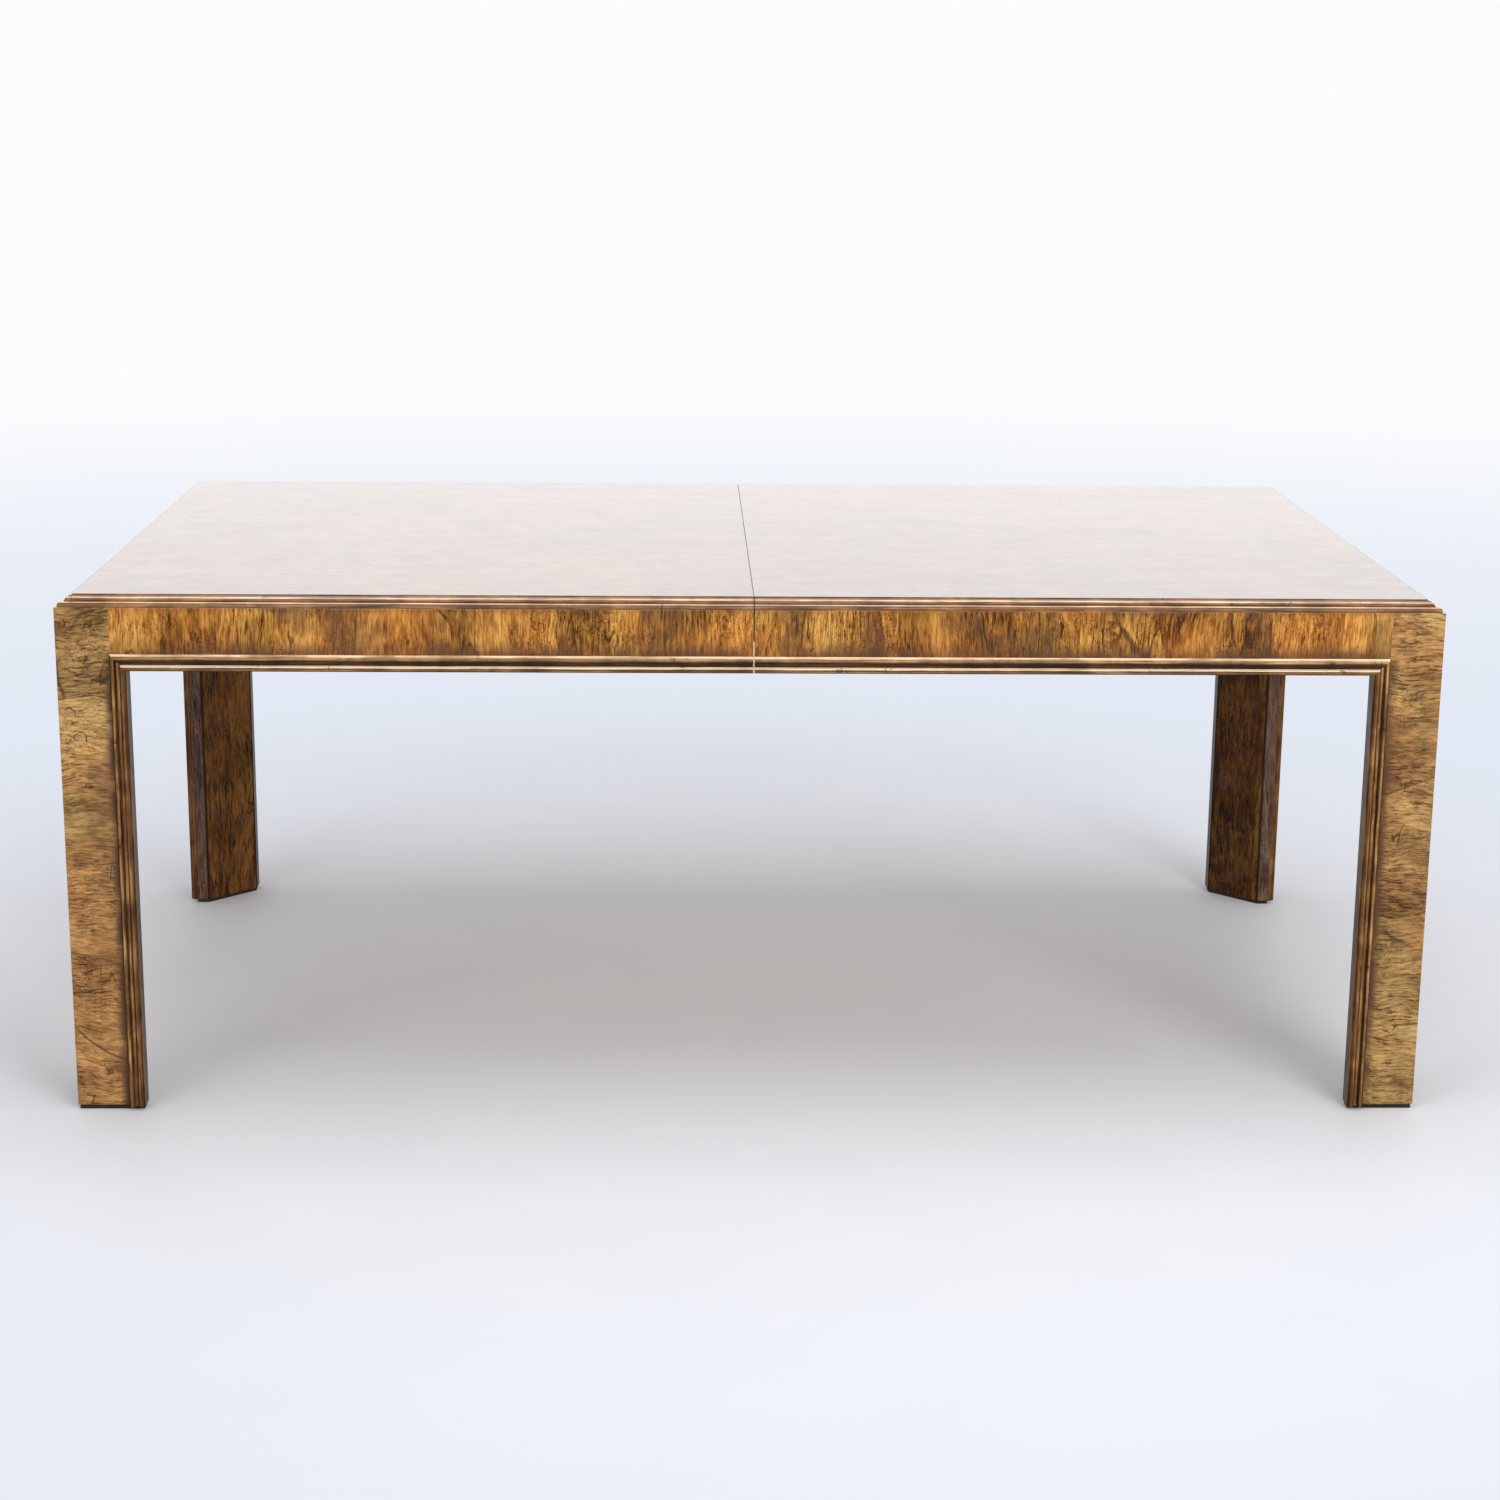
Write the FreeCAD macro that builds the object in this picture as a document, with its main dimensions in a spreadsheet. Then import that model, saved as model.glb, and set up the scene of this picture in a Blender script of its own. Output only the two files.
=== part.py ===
import FreeCAD, Part
import math
import os
import Sketcher

# An extending parsons dining table. It is two half tables on two geared wooden slides.
# +X runs along the table, -Y is the front, +Z is up, and the origin is on the floor under
# the middle of the joint between the halves. Lengths are in millimetres, angles in degrees.

SIZES = {
    # The whole table, and the slit between the two halves.
    "table_length": 1930,
    "table_width": 1118,
    "table_height": 749,
    "seam_gap": 0.6,
    "seam_chamfer": 0.5,
    "arris_radius": 1.2,
    # The top: a flat panel with a stepped stick along each outer edge.
    "top_inset": 23.4,
    "panel_thickness": 16,
    "fillet_width": 1.7,
    "fillet_drop": 1.3,
    "ovolo_width": 9.1,
    "ovolo_drop": 7.2,
    "quirk_drop": 0.5,
    "step_width": 4,
    "bead_radius": 4.5,
    # The aprons and legs: flush faces, and a proud double bead along each inner edge.
    "apron_height": 88,
    "apron_thickness": 22,
    "face_width": 74,
    "strip_width": 23,
    "strip_rebate": 2,
    "strip_rise": 9.5,
    "quirk_width": 2,
    "quirk_rise": 2,
    "outer_bead_width": 6.5,
    "outer_bead_crown": 2.5,
    "recess_width": 6.5,
    "recess_depth": 5.5,
    "inner_bead_width": 6,
    "inner_bead_crown": 2.5,
    "foot_chamfer": 2,
    "foot_pad_thickness": 6,
    "foot_pad_inset": 2.5,
    # The corner blocks, and the hanger bolt that holds each leg.
    "block_gap": 3,
    "block_thickness": 28,
    "block_height": 62,
    "block_drop": 10,
    "bolt_diameter": 8,
    "bolt_in_leg": 42,
    "bolt_end": 16,
    "bolt_hole_clearance": 0.5,
    "nut_across_flats": 13,
    "nut_height": 6.5,
    # The cleats and glue blocks under each half top.
    "cleat_width": 60,
    "cleat_thickness": 18,
    "cleat_near": 120,
    "cleat_far": 520,
    "glue_block_side": 26,
    "glue_block_length": 60,
    "glue_block_near": 300,
    "glue_block_far": 690,
    "glue_block_end_spacing": 400,
    # The slides: two outer members and a middle one, with a dovetail tongue on each side.
    "extension": 1016,
    "slide_spacing": 540,
    "slide_length": 1180,
    "member_height": 56,
    "member_thickness": 26,
    "member_gap": 0.5,
    "member_relief": 1,
    "dovetail_lift": 40,
    "dovetail_neck": 10,
    "dovetail_tip": 16,
    "dovetail_depth": 7,
    "dovetail_clearance": 0.4,
    # The equaliser: a pinion between two racks.
    "gear_module": 5,
    "pinion_teeth": 10,
    "pressure_angle": 25,
    "tooth_addendum": 0.8,
    "tooth_dedendum": 1.05,
    "tooth_backlash": 0.6,
    "gear_lift": 16,
    "pinion_thickness": 10,
    "pinion_pin_diameter": 8,
    "pinion_pin_length": 30,
    "running_clearance": 0.3,
    "pivot_play": 0.1,
    "rack_height": 12,
    "rack_back": 5,
    "rack_stop": 10,
    # The alignment pins in the joint.
    "pin_diameter": 9,
    "pin_reach": 18,
    "pin_root": 22,
    "pin_nose": 1.5,
    "pin_inset": 115,
    "pin_clearance": 0.35,
    "pin_bore_extra": 3,
    # The table locks under the joint.
    "lock_inset": 139,
    "lock_plate": 2,
    "lock_plate_length": 52,
    "lock_plate_width": 40,
    "lock_setback": 45,
    "lock_margin": 5,
    "lock_reach": 65,
    "lock_post_diameter": 9,
    "lock_stud_diameter": 6,
    "lock_head_width": 13,
    "lock_head_height": 2,
    "lever_thickness": 3,
    "lever_width": 22,
    "lever_shoulder": 4,
    "lever_tail": 22,
    "lever_play": 0.4,
    "keeper_length": 34,
}
PINS_IN_SEAM = 3
DIAGONAL = 45

doc = FreeCAD.newDocument("parsons_dining_table")
sheet = doc.addObject("Spreadsheet::Sheet", "sizes")
for row, (name, number) in enumerate(SIZES.items(), 1):
    sheet.set(f"A{row}", name)
    sheet.set(f"B{row}", str(number))
    sheet.setAlias(f"B{row}", name)
doc.recompute()

# Lengths that follow from the sizes, as expressions.
half_length = "(sizes.table_length / 2)"
half_width = "(sizes.table_width / 2)"
seam = "(sizes.seam_gap / 2)"
frame_top = "(sizes.table_height - sizes.panel_thickness)"
frame_bottom = f"({frame_top} - sizes.apron_height)"
panel_end = f"({half_length} - sizes.top_inset)"
panel_side = f"({half_width} - sizes.top_inset)"
edge_width = "(sizes.fillet_width + sizes.ovolo_width + sizes.step_width + sizes.bead_radius)"
leg_width = "(sizes.face_width + sizes.strip_width)"
through_strip = "(2 * (sizes.strip_rise + sizes.strip_rebate))"
cleat_bottom = f"({frame_top} - sizes.cleat_thickness)"
member_bottom = f"({cleat_bottom} - sizes.member_height)"
pitch_radius = "(sizes.gear_module * sizes.pinion_teeth / 2)"
tooth_top = "(sizes.gear_module * sizes.tooth_addendum)"
tooth_root = "(sizes.gear_module * sizes.tooth_dedendum)"
middle_half = f"({pitch_radius} - {tooth_top} - sizes.running_clearance - sizes.member_gap)"
member_face = f"({middle_half} + sizes.member_gap)"
lock_level = f"({frame_top} - sizes.lock_plate)"
lock_row = f"({half_width} - sizes.lock_inset)"
pin_spacing = f"(({panel_side} - sizes.pin_inset) * 2 / {PINS_IN_SEAM - 1})"
pin_first = f"(sizes.pin_inset - {panel_side})"

parts = []


def amount(expression):
    """The value of an expression of the sheet's sizes."""
    return float(sheet.evalExpression(expression))


def origin_feature(body, role):
    """One of a body's own origin planes or axes."""
    return [feature for feature in body.Origin.OriginFeatures if feature.Role == role][0]


def new_body(name):
    """A body whose label is the part's name."""
    body = doc.addObject("PartDesign::Body", name)
    body.Label = name
    body.AllowCompound = True
    return body


def new_sketch(body, name, role, lift="0"):
    """A sketch on an origin plane of the body, lifted along the plane's normal."""
    sketch = body.newObject("Sketcher::SketchObject", name)
    sketch.AttachmentSupport = [(origin_feature(body, role), "")]
    sketch.MapMode = "FlatFace"
    sketch.setExpression("AttachmentOffset.Base.z", lift)
    return sketch


def bind(sketch, kind, places, expression):
    """A dimension of a sketch, bound to an expression."""
    index = sketch.addConstraint(Sketcher.Constraint(kind, *places, amount(expression)))
    sketch.setExpression(f"Constraints[{index}]", expression)


def minor_arc(start, end, radius):
    """The short arc between two points; a positive radius has its centre on the left."""
    chord = end - start
    left = FreeCAD.Vector(-chord.y, chord.x, 0).normalize()
    side = math.copysign(1, radius)
    reach = math.sqrt(radius ** 2 - chord.Length ** 2 / 4)
    centre = start + chord * 0.5 + left * reach * side
    return Part.Arc(start, centre - left * radius, end)


def draw_outline(sketch, corners):
    """A closed outline through corners given as (x, y), or (x, y, radius) where an arc follows."""
    spots = [FreeCAD.Vector(amount(corner[0]), amount(corner[1]), 0) for corner in corners]
    starts = []
    for index, corner in enumerate(corners):
        start = spots[index]
        end = spots[(index + 1) % len(corners)]
        if len(corner) == 3:
            edge = sketch.addGeometry(minor_arc(start, end, amount(corner[2])), False)
            bind(sketch, "Radius", [edge], f"abs({corner[2]})")
        else:
            edge = sketch.addGeometry(Part.LineSegment(start, end), False)
        first = 1 if (sketch.getPoint(edge, 1) - start).Length < 1e-6 else 2
        starts.append((edge, first))
    for index, corner in enumerate(corners):
        edge, first = starts[index]
        before, before_first = starts[index - 1]
        joint = Sketcher.Constraint("Coincident", before, 3 - before_first, edge, first)
        sketch.addConstraint(joint)
        bind(sketch, "DistanceX", [-1, 1, edge, first], corner[0])
        bind(sketch, "DistanceY", [-1, 1, edge, first], corner[1])


def draw_box(sketch, left, right, low, high):
    """A rectangle."""
    draw_outline(sketch, [(left, low), (right, low), (right, high), (left, high)])


def draw_circle(sketch, x, y, radius):
    """A circle."""
    centre = FreeCAD.Vector(amount(x), amount(y), 0)
    circle = Part.Circle(centre, FreeCAD.Vector(0, 0, 1), amount(radius))
    edge = sketch.addGeometry(circle, False)
    bind(sketch, "DistanceX", [-1, 1, edge, 3], x)
    bind(sketch, "DistanceY", [-1, 1, edge, 3], y)
    bind(sketch, "Radius", [edge], radius)


def add_pad(body, sketch, length, backward=False, both=False):
    """Material from a sketch, along its normal, against it, or half each way."""
    pad = body.newObject("PartDesign::Pad", "pad")
    pad.Profile = sketch
    pad.setExpression("Length", length)
    pad.Reversed = backward
    pad.Midplane = both
    doc.recompute()
    return pad


def add_pocket(body, sketch, length, backward=False, both=False):
    """A cut from a sketch, against its normal unless backward; it must remove something."""
    before = body.Shape.Volume
    pocket = body.newObject("PartDesign::Pocket", "pocket")
    pocket.Profile = sketch
    pocket.setExpression("Length", length)
    pocket.Reversed = backward
    pocket.Midplane = both
    doc.recompute()
    if not body.Shape.Volume < before:
        raise ValueError(f"{body.Label}: a pocket cuts nothing")
    return pocket


def add_turning(body, sketch, role):
    """A full turn of a sketch about an origin axis."""
    turning = body.newObject("PartDesign::Revolution", "turning")
    turning.Profile = sketch
    turning.ReferenceAxis = (origin_feature(body, role), [""])
    turning.Angle = 360
    doc.recompute()
    return turning


def add_row(body, axis, count, spacing):
    """A row of copies along a signed axis, such as -X."""
    row = body.newObject("PartDesign::LinearPattern", "row")
    row.Direction = (origin_feature(body, axis[1] + "_Axis"), [""])
    row.Reversed = axis[0] == "-"
    row.Mode = "Spacing"
    row.setExpression("Occurrences", count)
    row.setExpression("Offset", spacing)
    return row


def add_pattern(body, originals, *runs):
    """Copies in a row, or in rows both ways; each run is (signed axis, count, spacing)."""
    if len(runs) == 1:
        pattern = add_row(body, *runs[0])
        pattern.Originals = originals
    else:
        pattern = body.newObject("PartDesign::MultiTransform", "pattern")
        pattern.Originals = originals
        pattern.Transformations = [add_row(body, *run) for run in runs]
    body.Tip = pattern
    doc.recompute()


def edges_at(body, wanted):
    """The names of a body's straight edges whose two ends both pass the test."""
    names = []
    for number, edge in enumerate(body.Shape.Edges, 1):
        ends = [vertex.Point for vertex in edge.Vertexes]
        if len(ends) == 2 and all(wanted(end) for end in ends):
            names.append(f"Edge{number}")
    return names


def dress(body, kind, sizes_by_property, edge_names):
    """A fillet or chamfer on named edges of the body's tip."""
    base = body.Tip
    feature = body.newObject("PartDesign::" + kind, kind.lower())
    feature.Base = (base, edge_names)
    for name, expression in sizes_by_property.items():
        feature.setExpression(name, expression)
    body.Tip = feature
    doc.recompute()


def near(value, target):
    """Whether two lengths agree."""
    return abs(value - target) < 1e-4


def place(part, x, y, z, turn=0):
    """Puts a part at expressions x, y, z, turned about +Z, and keeps it for export."""
    part.Placement = FreeCAD.Placement(FreeCAD.Vector(), FreeCAD.Rotation(turn, 0, 0))
    part.setExpression("Placement.Base.x", x)
    part.setExpression("Placement.Base.y", y)
    part.setExpression("Placement.Base.z", z)


def place_in_half(part, side, x, y, z, turn=0):
    """Puts a part made for the left half; the right half is the left one turned half round."""
    if side == "right":
        x = f"-1 * ({x})"
        y = f"-1 * ({y})"
        turn = turn + 180
    place(part, x, y, z, turn)
    parts.append(part)


def far_name(side, where):
    """The name of a row: the left half's front row is the right half's back row."""
    if side == "left":
        return where
    return {"front": "back", "back": "front", "end": "end"}[where]


def make_panel(side):
    """A half top. Its joint edge is bored for the pins, wider where they slide."""
    body = new_body(f"{side}_top_panel")
    plan = new_sketch(body, "plan", "XY_Plane")
    draw_box(plan, f"-{panel_end}", f"-{seam}", f"-{panel_side}", panel_side)
    add_pad(body, plan, "sizes.panel_thickness")
    edge_face = new_sketch(body, "seam_face", "YZ_Plane", f"-{seam}")
    radius = "sizes.pin_diameter / 2"
    depth = "sizes.pin_root"
    if side == "left":
        radius = "sizes.pin_diameter / 2 + sizes.pin_clearance"
        depth = "sizes.pin_reach + sizes.pin_bore_extra"
    draw_circle(edge_face, pin_first, "sizes.panel_thickness / 2", radius)
    bore = add_pocket(body, edge_face, depth)
    add_pattern(body, [bore], ("+Y", str(PINS_IN_SEAM), pin_spacing))
    seam_x = -amount(seam)
    top_z = amount("sizes.panel_thickness")
    names = edges_at(body, lambda end: near(end.x, seam_x) and near(end.z, top_z))
    dress(body, "Chamfer", {"Size": "sizes.seam_chamfer"}, names)
    place_in_half(body, side, "0", "0", frame_top)


def draw_edge_section(sketch):
    """The stick round the top: fillet, ovolo, quirk, flat step and bead, from the inside out."""
    top = "sizes.panel_thickness"
    ovolo_start = f"{top} - sizes.fillet_drop"
    ovolo_out = "(-sizes.fillet_width - sizes.ovolo_width)"
    ovolo_end = f"({ovolo_start} - sizes.ovolo_drop)"
    ovolo_radius = "((sizes.ovolo_width ^ 2 + sizes.ovolo_drop ^ 2) / (2 * sizes.ovolo_drop))"
    step = f"({ovolo_end} - sizes.quirk_drop)"
    draw_outline(sketch, [
        ("0", "0"),
        ("0", top),
        ("-sizes.fillet_width", top),
        ("-sizes.fillet_width", ovolo_start, ovolo_radius),
        (ovolo_out, ovolo_end),
        (ovolo_out, step),
        (f"{ovolo_out} - sizes.step_width", step, "sizes.bead_radius"),
        (f"-{edge_width}", f"{step} - sizes.bead_radius"),
        (f"-{edge_width}", "0"),
    ])


def make_edge_stick(side, where, length, mitres):
    """A stick of the top's edge, faced to -Y, mitred in plan at its low or high end or both."""
    body = new_body(f"{side}_top_edge_{far_name(side, where)}")
    section = new_sketch(body, "section", "YZ_Plane")
    draw_edge_section(section)
    add_pad(body, section, length)
    for end in mitres:
        tip = "0" if end == "low" else length
        heel = edge_width if end == "low" else f"{length} - {edge_width}"
        mitre = new_sketch(body, "mitre", "XY_Plane")
        draw_outline(mitre, [(tip, "0"), (heel, "0"), (tip, f"-{edge_width}")])
        add_pocket(body, mitre, "sizes.panel_thickness", backward=True)
    return body


def make_top_edges(side):
    """The front, back and end sticks of a half top."""
    long_stick = f"({panel_end} - {seam} + {edge_width})"
    front = make_edge_stick(side, "front", long_stick, ["low"])
    place_in_half(front, side, f"-{panel_end} - {edge_width}", f"-{panel_side}", frame_top)
    back = make_edge_stick(side, "back", long_stick, ["high"])
    place_in_half(back, side, f"-{seam}", panel_side, frame_top, 180)
    end = make_edge_stick(side, "end", f"(2 * {panel_side} + 2 * {edge_width})", ["low", "high"])
    place_in_half(end, side, f"-{panel_end}", f"{panel_side} + {edge_width}", frame_top, -90)


def make_apron(side, where, length):
    """An apron board, faced to -Y, with a rebate along its lower edge for the moulding."""
    body = new_body(f"{side}_apron_{far_name(side, where)}")
    section = new_sketch(body, "section", "YZ_Plane")
    draw_outline(section, [
        ("sizes.strip_rebate", "0"),
        ("sizes.apron_thickness", "0"),
        ("sizes.apron_thickness", "sizes.apron_height"),
        ("0", "sizes.apron_height"),
        ("0", "sizes.strip_width"),
        ("sizes.strip_rebate", "sizes.strip_width"),
    ])
    add_pad(body, section, length)
    top_z = amount("sizes.apron_height")
    names = edges_at(body, lambda end: near(end.y, 0) and near(end.z, top_z))
    dress(body, "Fillet", {"Radius": "sizes.arris_radius"}, names)
    return body


def make_aprons(side):
    """The front, back and end aprons of a half. Their ends lap into the legs."""
    long_board = f"({half_length} - sizes.face_width - {seam})"
    front = make_apron(side, "front", long_board)
    place_in_half(front, side, f"sizes.face_width - {half_length}", f"-{half_width}", frame_bottom)
    back = make_apron(side, "back", long_board)
    place_in_half(back, side, f"-{seam}", half_width, frame_bottom, 180)
    end = make_apron(side, "end", "(sizes.table_width - 2 * sizes.face_width)")
    place_in_half(end, side, f"-{half_length}", f"{half_width} - sizes.face_width", frame_bottom, -90)


def bead_radius(width, crown):
    """The radius of a bead's arc from its width and how far it stands over its shoulders."""
    return f"(({width} / 2) ^ 2 + {crown} ^ 2) / (2 * {crown})"


def strip_corners(spot, hand):
    """The double bead's section: spot(across, depth) gives a corner, hand the arcs' side."""
    outer_end = "sizes.quirk_width + sizes.outer_bead_width"
    recess_end = f"{outer_end} + sizes.recess_width"
    inner_end = f"{recess_end} + sizes.inner_bead_width"
    recess = "sizes.recess_depth - sizes.strip_rise"
    outer_shoulder = "sizes.outer_bead_crown - sizes.strip_rise"
    inner_shoulder = "sizes.inner_bead_crown - sizes.strip_rise"
    outer_radius = bead_radius("sizes.outer_bead_width", "sizes.outer_bead_crown")
    inner_radius = bead_radius("sizes.inner_bead_width", "sizes.inner_bead_crown")
    return [
        spot("0", "sizes.strip_rebate"),
        spot("0", "-sizes.quirk_rise"),
        spot("sizes.quirk_width", "-sizes.quirk_rise"),
        (*spot("sizes.quirk_width", outer_shoulder), f"{hand} * {outer_radius}"),
        spot(outer_end, outer_shoulder),
        spot(outer_end, recess),
        spot(recess_end, recess),
        (*spot(recess_end, inner_shoulder), f"{hand} * {inner_radius}"),
        spot(inner_end, inner_shoulder),
        spot(inner_end, recess),
        spot("sizes.strip_width", recess),
        spot("sizes.strip_width", "sizes.strip_rebate"),
    ]


def make_apron_strip(side, where, length, mitres):
    """The bead strip under an apron, faced to -Y, mitred in front view into the leg's strip."""
    body = new_body(f"{side}_apron_moulding_{far_name(side, where)}")
    section = new_sketch(body, "section", "YZ_Plane")
    corners = strip_corners(lambda across, depth: (depth, f"sizes.strip_width - ({across})"), 1)
    draw_outline(section, corners)
    add_pad(body, section, length)
    for end in mitres:
        tip = "0" if end == "low" else length
        heel = "sizes.strip_width" if end == "low" else f"{length} - sizes.strip_width"
        mitre = new_sketch(body, "mitre", "XZ_Plane")
        draw_outline(mitre, [(tip, "0"), (heel, "0"), (tip, "sizes.strip_width")])
        add_pocket(body, mitre, through_strip, both=True)
    return body


def make_apron_strips(side):
    """The front, back and end bead strips of a half."""
    long_strip = f"({half_length} - sizes.face_width - {seam})"
    front = make_apron_strip(side, "front", long_strip, ["low"])
    place_in_half(front, side, f"sizes.face_width - {half_length}", f"-{half_width}", frame_bottom)
    back = make_apron_strip(side, "back", long_strip, ["high"])
    place_in_half(back, side, f"-{seam}", half_width, frame_bottom, 180)
    end_strip = "(sizes.table_width - 2 * sizes.face_width)"
    end = make_apron_strip(side, "end", end_strip, ["low", "high"])
    place_in_half(end, side, f"-{half_length}", f"{half_width} - sizes.face_width", frame_bottom, -90)


def make_leg(name):
    """A leg core from its outer corner: two faces, two rebates and an inner face at 45 degrees."""
    body = new_body(name)
    plan = new_sketch(body, "plan", "XY_Plane", "sizes.foot_pad_thickness")
    draw_outline(plan, [
        ("0", "0"),
        ("sizes.face_width", "0"),
        ("sizes.face_width", "sizes.strip_rebate"),
        (leg_width, "sizes.strip_rebate"),
        (leg_width, "sizes.apron_thickness"),
        ("sizes.apron_thickness", leg_width),
        ("sizes.strip_rebate", leg_width),
        ("sizes.strip_rebate", "sizes.face_width"),
        ("0", "sizes.face_width"),
    ])
    add_pad(body, plan, f"{frame_top} - sizes.foot_pad_thickness")
    laps = new_sketch(body, "apron_laps", "XY_Plane", frame_bottom)
    draw_box(laps, "sizes.face_width", f"{leg_width} + 1", "0", "sizes.apron_thickness")
    draw_box(laps, "0", "sizes.apron_thickness", "sizes.face_width", f"{leg_width} + 1")
    add_pocket(body, laps, "sizes.apron_height", backward=True)
    face = amount("sizes.face_width")
    foot_z = amount("sizes.foot_pad_thickness")
    top_z = amount(frame_top)

    def on_outside(end):
        return (near(end.x, 0) and end.y < face + 1) or (near(end.y, 0) and end.x < face + 1)

    feet = edges_at(body, lambda end: near(end.z, foot_z) and on_outside(end))
    dress(body, "Chamfer", {"Size": "sizes.foot_chamfer"}, feet)
    arrises = edges_at(body, lambda end: near(end.z, top_z) and on_outside(end))
    corner = edges_at(body, lambda end: near(end.x, 0) and near(end.y, 0))
    dress(body, "Fillet", {"Radius": "sizes.arris_radius"}, arrises + corner)
    return body


def make_leg_strips(name):
    """A leg's two bead strips, one on each inner edge, mitred at the top into the aprons'."""
    body = new_body(name)
    plan = new_sketch(body, "plan", "XY_Plane", "sizes.foot_pad_thickness")
    outward = "sizes.face_width + "
    draw_outline(plan, strip_corners(lambda across, depth: (outward + across, depth), 1))
    draw_outline(plan, strip_corners(lambda across, depth: (depth, outward + across), -1))
    strip_top = f"({frame_bottom} + sizes.strip_width)"
    add_pad(body, plan, f"{strip_top} - sizes.foot_pad_thickness")
    cut = [(leg_width, frame_bottom), (leg_width, strip_top), ("sizes.face_width", strip_top)]
    front_mitre = new_sketch(body, "front_mitre", "XZ_Plane")
    draw_outline(front_mitre, cut)
    add_pocket(body, front_mitre, through_strip, both=True)
    end_mitre = new_sketch(body, "end_mitre", "YZ_Plane")
    draw_outline(end_mitre, cut)
    add_pocket(body, end_mitre, through_strip, both=True)
    return body


def make_foot_pads(side):
    """The two pads under a half's feet, set back from the legs' outline."""
    inset = "sizes.foot_pad_inset"
    bend = f"(sizes.apron_thickness - {inset} * (sqrt(2) - 1))"
    body = new_body(f"{side}_foot_pads")
    plan = new_sketch(body, "plan", "XY_Plane")
    outline = [
        (inset, inset),
        (f"{leg_width} - {inset}", inset),
        (f"{leg_width} - {inset}", bend),
        (bend, f"{leg_width} - {inset}"),
        (inset, f"{leg_width} - {inset}"),
    ]
    draw_outline(plan, outline)
    draw_outline(plan, [(x, f"sizes.table_width - ({y})") for x, y in outline])
    add_pad(body, plan, "sizes.foot_pad_thickness")
    place_in_half(body, side, f"-{half_length}", f"-{half_width}", "0")


# In a corner, the block and its bolt lie along the diagonal. Their own +Y is that diagonal,
# from the block's face on the leg's side, and their own Z is measured from the block's bottom.
block_gap_along = "(sizes.block_gap * sqrt(2))"
block_setback = f"(({leg_width} + sizes.apron_thickness + {block_gap_along}) / sqrt(2))"
block_bottom = f"({frame_top} - sizes.block_drop - sizes.block_height)"
bolt_height = "sizes.block_height / 2"


def corner_spot(where):
    """Where the diagonal frame of a left corner stands, and its turn."""
    outward = f"{block_setback} / sqrt(2)"
    x = f"{outward} - {half_length}"
    if where == "front":
        return x, f"{outward} - {half_width}", block_bottom, -DIAGONAL
    return x, f"{half_width} - {outward}", block_bottom, DIAGONAL - 180


def make_corner_block(side, where):
    """A corner block: a board across the corner with ends cut to lie on both aprons."""
    half_span = f"(({leg_width} + {block_gap_along} - sizes.apron_thickness) / sqrt(2))"
    body = new_body(f"{side}_{far_name(side, where)}_corner_block")
    plan = new_sketch(body, "plan", "XY_Plane")
    draw_outline(plan, [
        (f"-{half_span}", "0"),
        (half_span, "0"),
        (f"{half_span} + sizes.block_thickness", "sizes.block_thickness"),
        (f"-{half_span} - sizes.block_thickness", "sizes.block_thickness"),
    ])
    add_pad(body, plan, "sizes.block_height")
    bore = new_sketch(body, "bolt_hole", "XZ_Plane")
    draw_circle(bore, "0", bolt_height, "sizes.bolt_diameter / 2 + sizes.bolt_hole_clearance")
    add_pocket(body, bore, "sizes.block_thickness")
    place_in_half(body, side, *corner_spot(where))


def bore_leg(body):
    """A blind hole for the bolt, square to the leg's inner face."""
    plan = new_sketch(body, "bolt_hole", "XZ_Plane")
    turn = FreeCAD.Rotation(FreeCAD.Vector(0, 1, 0), -DIAGONAL)
    plan.AttachmentOffset = FreeCAD.Placement(FreeCAD.Vector(), turn)
    face_middle = f"({leg_width} + sizes.apron_thickness) / 2"
    plan.setExpression("AttachmentOffset.Base.x", face_middle)
    plan.setExpression("AttachmentOffset.Base.y", f"{block_bottom} + {bolt_height}")
    plan.setExpression("AttachmentOffset.Base.z", f"-{face_middle}")
    draw_circle(plan, "0", "0", "sizes.bolt_diameter / 2")
    add_pocket(body, plan, "sizes.bolt_in_leg", backward=True)


def lay_on_diagonal(part, y):
    """Lays a part made along +Z so that it runs along +Y from y, at the bolt's height."""
    turn = FreeCAD.Rotation(FreeCAD.Vector(0, 0, 1), FreeCAD.Vector(0, 1, 0))
    part.Placement = FreeCAD.Placement(FreeCAD.Vector(), turn)
    part.setExpression("Placement.Base.y", y)
    part.setExpression("Placement.Base.z", bolt_height)


def make_bolt():
    """A hanger bolt from its end in the leg, through the block and its nut."""
    bolt = doc.addObject("Part::Cylinder", "hanger_bolt")
    bolt.setExpression("Radius", "sizes.bolt_diameter / 2")
    through = "sizes.block_gap + sizes.block_thickness + sizes.bolt_end"
    bolt.setExpression("Height", f"sizes.bolt_in_leg + {through}")
    lay_on_diagonal(bolt, "-sizes.bolt_in_leg - sizes.block_gap")
    return bolt


def make_nut():
    """A hexagon nut on the far side of the block."""
    blank = doc.addObject("Part::Prism", "nut_blank")
    blank.Polygon = 6
    blank.setExpression("Circumradius", "sizes.nut_across_flats / sqrt(3)")
    blank.setExpression("Height", "sizes.nut_height")
    hole = doc.addObject("Part::Cylinder", "nut_hole")
    hole.setExpression("Radius", "sizes.bolt_diameter / 2")
    hole.setExpression("Height", "sizes.nut_height")
    nut = doc.addObject("Part::Cut", "nut")
    nut.Base = blank
    nut.Tool = hole
    lay_on_diagonal(nut, "sizes.block_thickness")
    return nut


def in_corner(name, fastener, where):
    """A fastener of the diagonal frame, put in a corner."""
    corner = doc.addObject("Part::Compound", name)
    corner.Links = [fastener]
    place(corner, *corner_spot(where))
    return corner


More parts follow.
